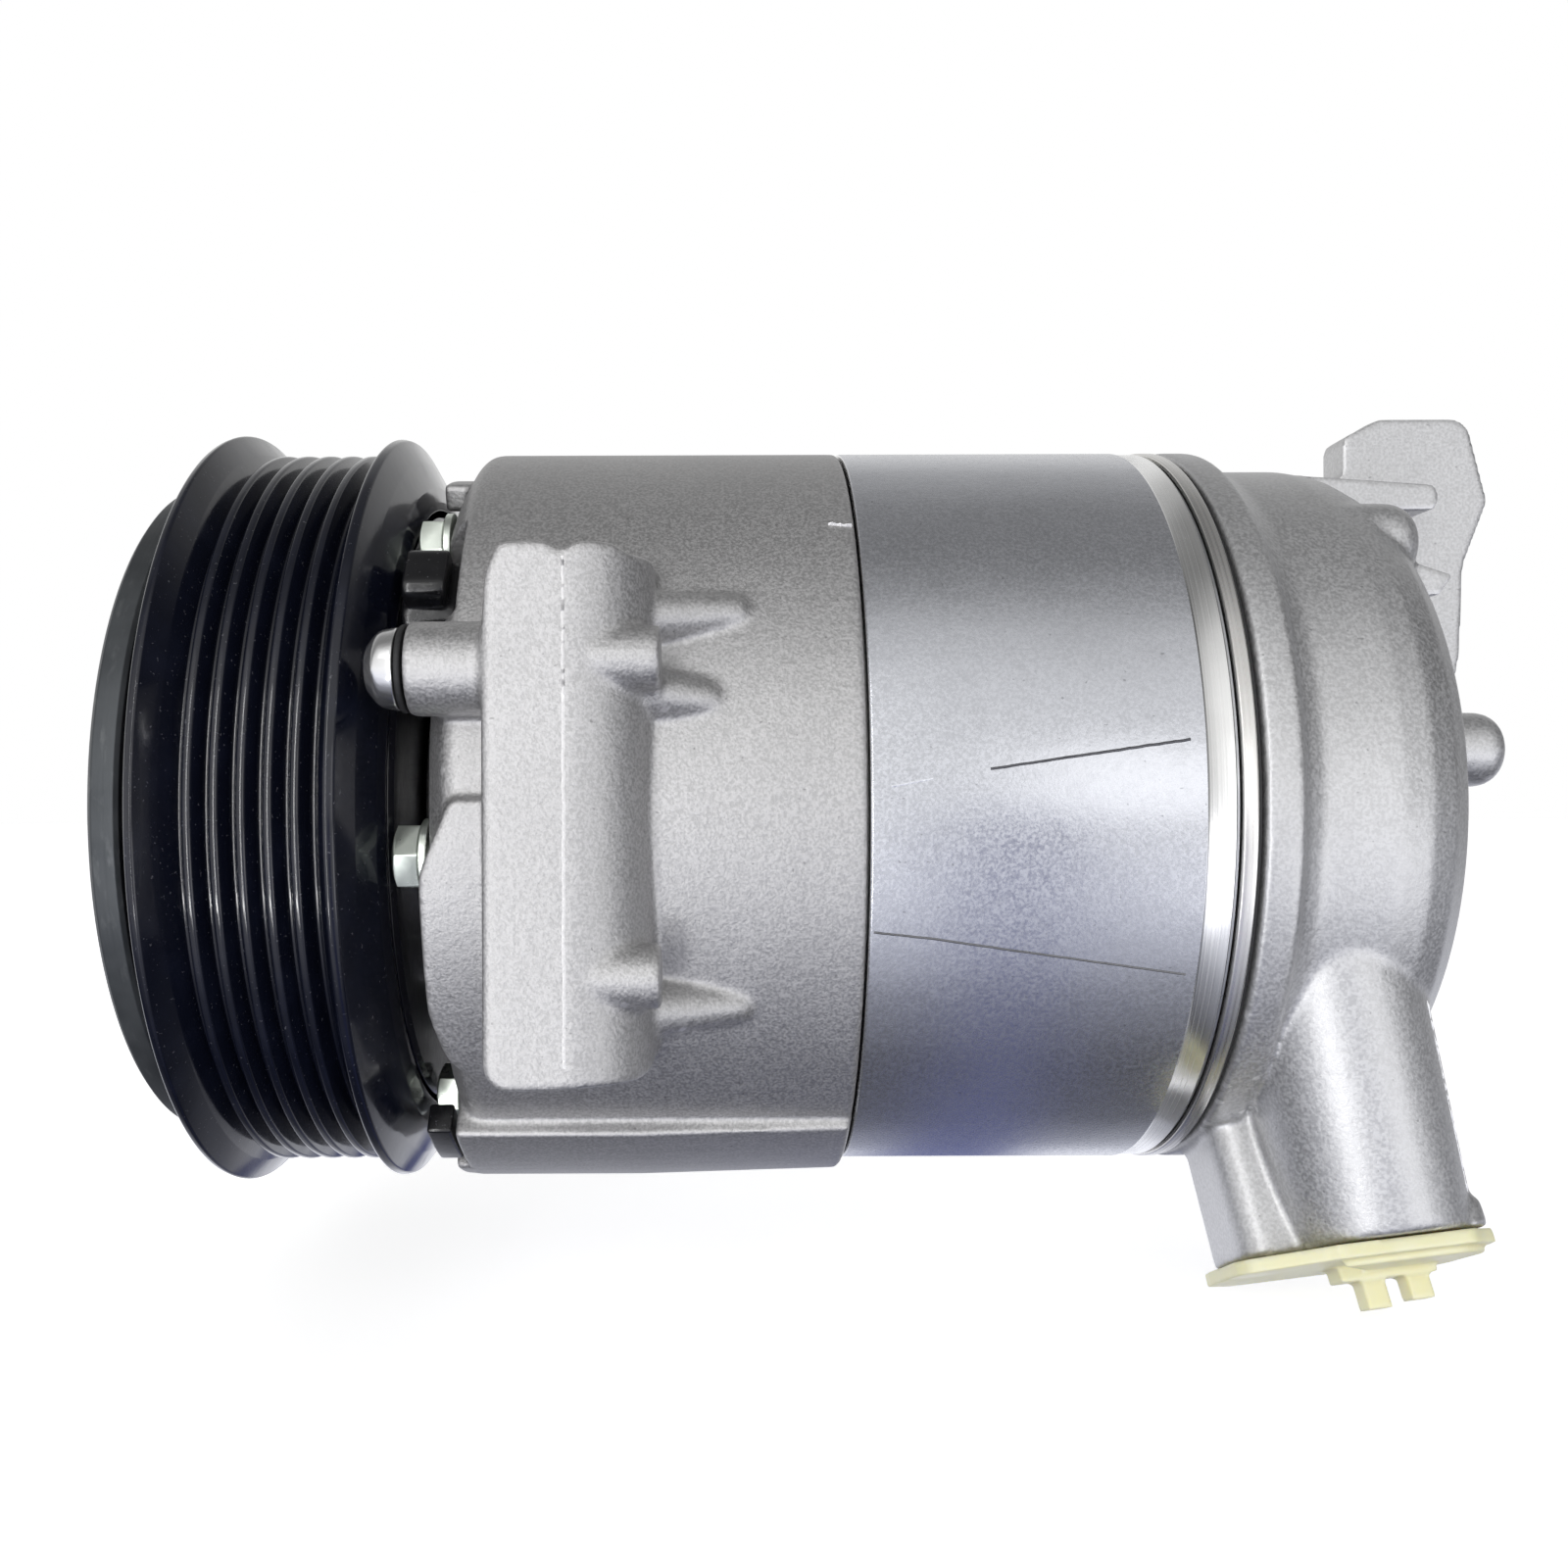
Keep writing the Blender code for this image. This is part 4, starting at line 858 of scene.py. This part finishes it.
def port_block():
    """The pipe ports: a round suction barrel cut off by the leaning face, a flat block and the face's lip."""
    below = moved(box((-40, -40, -40), (40, 40, 0)), port_frame())
    barrel = carved(rod(BARREL_TOP, BARREL_FOOT, BARREL_R, FINE), "DIFFERENCE", below)
    flat = rounded([(-17.2, -6.0, 4), (15, -6.0, 0), (15, 13.5, 5), (-17.2, 13.5, 5)], steps=10)
    lip = rounded([(6, -11.5, 0), (16.3, -11.5, 4), (16.3, 11.5, 4), (6, 11.5, 0)], steps=10)
    raised = [prism(flat, 0, 24, "Z"), prism(lip, 0, 4, "Z")]
    return joined(barrel, *(moved(mesh, port_frame()) for mesh in raised))


def rear_head():
    """The rear head casting with its ear, pipe port block, bosses and bores."""
    body = turned([
        (HEAD_X, 0, 0), (HEAD_X, BODY_R, 0.3), (162.2, BODY_R, 0.6), (163.2, 57.2, 0.8), (166.0, HEAD_R, 2.5),
        (HEAD_END, HEAD_R, 14.9), (HEAD_END, 0, 0)])
    solids = [body, port_block()]
    bolt_boss = turned([(170, 0, 0), (170, 6.3, 0), (190.4, 6.3, 4.5), (190.4, 0, 0)], ROUND)
    for i in (1, 2, 4):
        solids.append(moved(bolt_boss, across_shaft(*bolt_places()[i])))
    solids.append(rod((VALVE_X, 38, VALVE_Z), (VALVE_X, 58, VALVE_Z), 11.0))
    core = melted(joined(*solids), VOXEL, 10)
    end_rib = prism([(186, 37.5), (195.8, 34.2), (193.6, 31.2), (186, 30.6)], -33.0, 0.0, "Y")
    end_boss = turned([(185, 0, 0), (185, 5.6, 0), (201.6, 5.5, 3.4), (201.6, 0, 0)], ROUND)
    sharper = [*ear(), end_rib, moved(end_boss, across_shaft(-33, 8.0))]
    whole = melted(joined(core, *sharper), VOXEL, 3)
    chambers = [turned([(150, 0, 0), (150, 31.0, 0), (181, 31.0, 1.0), (181, 0, 0)]),
                turned([(150, 34.5, 0), (150, 44.5, 0), (183, 44.5, 1.0), (183, 34.5, 1.0)])]
    bores = [rod((VALVE_X, 36, VALVE_Z), (VALVE_X, 60, VALVE_Z), 7.5),
             rod((178, *RELIEF_VALVE), (194, *RELIEF_VALVE), 4.3),
             rod((EAR_X, EAR_Y, 50), (EAR_X, EAR_Y, 70), MOUNT_HOLE_R)]
    ports = [rod((*SUCTION_PORT, -5), (*SUCTION_PORT, 31), SUCTION_R),
             rod((*DISCHARGE_PORT, -5), (*DISCHARGE_PORT, 17), DISCHARGE_R),
             rod((*STUD_HOLE, -5), (*STUD_HOLE, 14), STUD_HOLE_R)]
    ports = [moved(port, port_frame()) for port in ports]
    head = carved(whole, "DIFFERENCE", *chambers, *bores, *ports, *bolt_holes(150, BOLT_END + 0.6))
    piece("head_casting", head, "case", "cast_aluminium", "rear_head")


def valves():
    """The control valve in the head's far side, and the relief valve with its hexagon at the head's end."""
    body = turned([
        (33.8, 0, 0), (33.8, 4.6, 0.3), (38.0, 4.6, 0.3), (38.0, 7.1, 0.3), (56.6, 7.1, 0.5),
        (56.6, 4.0, 0.2), (60.2, 3.6, 0.6), (60.2, 0, 0)], ROUND)
    sideways = Matrix.Rotation(math.radians(90), 4, "Z")
    place = Matrix.Translation(Vector((VALVE_X, 0, VALVE_Z)) * MM) @ sideways
    piece("control_valve_body", moved(body, place), "case", "brass", "control_valve")
    stem = turned([(180, 0, 0), (180, 3.9, 0.3), (198.0, 3.9, 0), (198.0, 5.0, 0.3), (201.5, 4.4, 0.6),
                   (201.5, 0, 0)], ROUND)
    nut = moved(hexagon(-198.2, -191.8, 7.2, 0.6), Matrix.Rotation(math.pi, 4, "Z"))
    relief = moved(carved(stem, "UNION", nut), across_shaft(*RELIEF_VALVE))
    piece("relief_valve_body", relief, "case", "brass", "relief_valve")


def port_cap():
    """The transit cap: a soft plate with a wavy moulded edge, two pull tabs on a pad, and two plugs."""
    outline = rounded([
        (-19.6, -7.5, 5), (-7.0, -13.5, 5), (17.6, -13.5, 9), (17.6, 14.5, 9), (-19.6, 14.5, 8)], steps=24)
    wavy = []
    for x, y in outline:
        reach = 0.98 + 0.03 * noise.noise(Vector((x * 0.35, y * 0.35, 0)))
        reach += 0.006 * math.sin(x * 0.9 + y * 0.7)
        wavy.append((x * reach, y * reach))
    inner = [(x * 0.86 + 1.0, y * 0.84) for x, y in outline if x > -8]
    solid = joined(
        prism(wavy, -2.2, -GAP, "Z"), prism(inner, -3.2, -2.0, "Z"),
        rod((*SUCTION_PORT, -2), (*SUCTION_PORT, 5), SUCTION_R - 0.6),
        rod((*DISCHARGE_PORT, -2), (*DISCHARGE_PORT, 5), DISCHARGE_R - 0.5),
        box((0.5, 1, -8.4), (3.9, 5, -2.5)), box((7.0, 1, -7.8), (10.4, 5, -2.5)),
        box((-2.5, 0.4, -4.4), (11.6, 5.6, -2.5)))
    cap = moved(melted(solid, 0.3, 3), port_frame())
    piece("port_cap_moulding", cap, "port_cap", "cap_plastic", "port_cap")


def through_bolts():
    """The six flanged bolts that hold the case together, each with its head turned a little further."""
    head_back, flange_r, flange_back = 45.0, 5.3, 46.0
    head = hexagon(BOLT_FRONT, head_back, 4.8, 0.6)
    shank = turned([
        (44.6, 0, 0), (44.6, 4.6, 0.2), (head_back, flange_r, 0.15), (flange_back, flange_r, 0.15),
        (flange_back, SHANK_R, 0), (BOLT_END, SHANK_R, 0.4), (BOLT_END, 0, 0)], SMALL)
    bolt = carved(shank, "UNION", head)
    for i, (angle, place) in enumerate(zip(BOLT_ANGLES, bolt_places()), start=1):
        turn = Matrix.Rotation(math.radians(90 - angle + 17 * i), 4, "X")
        piece("case_bolt_%d" % i, moved(bolt, across_shaft(*place) @ turn), "case", "zinc",
              "through_bolt_%d" % i)


def finish_cad_nodes():
    """Gives each CAD node that still shows the finish of its material slot."""
    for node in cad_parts.values():
        for slot in node.material_slots:
            name = slot.material.name.split(".")[0]
            slot.material = LOOKS.get(name, LOOKS["bright_steel"])


# ------------------------------------------------------------ studio and camera

def floor_coat():
    """Pale to the eye. Other rays pass through it, so the surround alone lights the object from below."""
    coat = Coat("floor", (0.9, 0.9, 0.905), 0.6, 0.0)
    coat.tint(coat.ramp(coat.noise(60.0, 2.0), 0.3, 0.7, 0.0, 0.2), (0.87, 0.87, 0.875))
    coat.put("Emission Color", (1.0, 1.0, 1.0, 1.0))
    coat.put("Emission Strength", 0.62)
    mix = coat.node("ShaderNodeMixShader")
    coat.link(coat.node("ShaderNodeLightPath").outputs["Is Camera Ray"], mix.inputs[0])
    coat.link(coat.node("ShaderNodeBsdfTransparent").outputs[0], mix.inputs[1])
    coat.link(coat.shader.outputs[0], mix.inputs[2])
    coat.link(mix.outputs[0], coat.tree.nodes["Material Output"].inputs["Surface"])
    return coat.material


# Brightness of the surround by its angle round the X axis: 0 is the camera side, 90 overhead, -90 below
SURROUND = [(-180, 1.2), (-150, 1.3), (-132, 0.5), (-112, 0.1), (-86, 0.04), (-62, 0.25), (-42, 0.85),
            (-26, 1.15), (-6, 1.2), (14, 1.1), (34, 1.05), (52, 0.8), (68, 0.35), (80, 0.2), (102, 0.25),
            (122, 0.5), (145, 0.9), (180, 1.2)]


def surround():
    """White behind the object, and a soft band of light and dark round it that the metal reflects."""
    world = bpy.data.worlds.new("surround")
    world.use_nodes = True
    nodes, links = world.node_tree.nodes, world.node_tree.links

    def calculated(operation, *values):
        """The result of an operation on outputs and numbers."""
        made = nodes.new("ShaderNodeMath")
        made.operation = operation
        for socket, value in zip(made.inputs, values):
            if isinstance(value, float):
                socket.default_value = value
            else:
                links.new(value, socket)
        return made.outputs[0]

    def fade(output, low, high, level, kind="SMOOTHSTEP"):
        """Rises from 0 to a level as the output goes from low to high."""
        made = nodes.new("ShaderNodeMapRange")
        made.interpolation_type = kind
        for name, value in zip(("From Min", "From Max", "To Min", "To Max"), (low, high, 0.0, level)):
            made.inputs[name].default_value = value
        links.new(output, made.inputs["Value"])
        return made.outputs[0]

    split = nodes.new("ShaderNodeSeparateXYZ")
    links.new(nodes.new("ShaderNodeTexCoord").outputs["Generated"], split.inputs[0])
    sideways, away, up = split.outputs
    angle = calculated("ARCTAN2", up, calculated("MULTIPLY", away, -1.0))
    ramp = nodes.new("ShaderNodeValToRGB")
    ramp.color_ramp.interpolation = "EASE"
    stops = ramp.color_ramp.elements
    while len(stops) > 1:
        stops.remove(stops[-1])
    for i, (degrees, level) in enumerate(SURROUND):
        place = (degrees + 180) / 360
        stop = stops[0] if i == 0 else stops.new(place)
        stop.position = place
        cool = 0.1 * max(0.0, -math.sin(math.radians(degrees)))
        stop.color = (level * (1 - cool), level * (1 - 0.7 * cool), level * (1 + cool), 1.0)
    links.new(fade(angle, -math.pi, math.pi, 1.0, "LINEAR"), ramp.inputs[0])
    colour = ramp.outputs[0]
    dark = calculated("MULTIPLY", fade(sideways, 0.6, 0.9, 0.75), fade(up, -0.3, 0.0, 1.0))
    strip = calculated("MULTIPLY", fade(sideways, 0.05, 0.13, 0.95), fade(sideways, 0.24, 0.18, 1.0))
    bluish = calculated("MULTIPLY", strip, fade(up, 0.06, -0.12, 1.0))
    for amount, shade in ((dark, (0.0, 0.0, 0.0, 1.0)), (bluish, (0.12, 0.14, 0.36, 1.0))):
        dim = nodes.new("ShaderNodeMix")
        dim.data_type = "RGBA"
        links.new(amount, dim.inputs["Factor"])
        links.new(colour, dim.inputs["A"])
        dim.inputs["B"].default_value = shade
        colour = dim.outputs["Result"]
    back = nodes["Background"]
    links.new(colour, back.inputs["Color"])
    back.inputs["Strength"].default_value = 0.95
    seen = nodes.new("ShaderNodeBackground")
    seen.inputs["Color"].default_value = (1.0, 1.0, 1.0, 1.0)
    mix = nodes.new("ShaderNodeMixShader")
    links.new(nodes.new("ShaderNodeLightPath").outputs["Is Camera Ray"], mix.inputs[0])
    links.new(back.outputs[0], mix.inputs[1])
    links.new(seen.outputs[0], mix.inputs[2])
    links.new(mix.outputs[0], nodes["World Output"].inputs["Surface"])
    bpy.context.scene.world = world


def studio():
    """A pale floor, the surround and soft lamps."""
    low, high = cad_box
    centre = (low + high) / 2
    shape = bmesh.new()
    bmesh.ops.create_grid(shape, x_segments=1, y_segments=1, size=6.0)
    shape.transform(Matrix.Translation((centre.x, 0, low.z - 0.001)))
    floor = bpy.data.objects.new("floor", from_bmesh(shape))
    bpy.context.scene.collection.objects.link(floor)
    floor.data.materials.append(floor_coat())
    surround()
    for name, place, width, height, power in (
            ("strip", (-0.24, -0.94, 0.0), 0.04, 1.3, 3.2),
            ("glint", (-0.29, -0.86, -0.46), 0.07, 0.07, 0.5),
            ("key", (-0.35, -0.75, 0.55), 0.35, 0.35, 0.15),
            ("side", (0.75, -0.72, -0.3), 0.4, 0.4, 0.8),
            ("patch", (0.42, -0.82, 0.1), 0.3, 0.3, 0.3)):
        lamp = bpy.data.lights.new(name, "AREA")
        lamp.shape = "RECTANGLE"
        lamp.size, lamp.size_y = width, height
        lamp.energy = power
        obj = bpy.data.objects.new(name, lamp)
        obj.location = Vector(place)
        obj.rotation_euler = (centre - obj.location).to_track_quat("-Z", "Y").to_euler()
        bpy.context.scene.collection.objects.link(obj)


def camera():
    """The viewpoint: level, square to the shaft, close to the near side and a little ahead of the middle."""
    data = bpy.data.cameras.new("camera")
    data.lens, data.sensor_width = 31.67, 36.0
    data.shift_x, data.shift_y = 0.0493, 0.0140
    data.clip_start, data.clip_end = 0.01, 20.0
    obj = bpy.data.objects.new("camera", data)
    obj.location = (0.0838, -0.2394, 0.0)
    obj.rotation_euler = (math.radians(90), math.radians(0.2), 0)
    bpy.context.scene.collection.objects.link(obj)
    bpy.context.scene.camera = obj


bpy.context.scene.view_settings.view_transform = "Standard"
armature()
spring_and_hub()
pulley()
coil()
front_housing()
plug()
cylinder_block()
casting_folds()
bracket()
valve_plates()
rear_head()
valves()
port_cap()
through_bolts()
finish_cad_nodes()
studio()
camera()
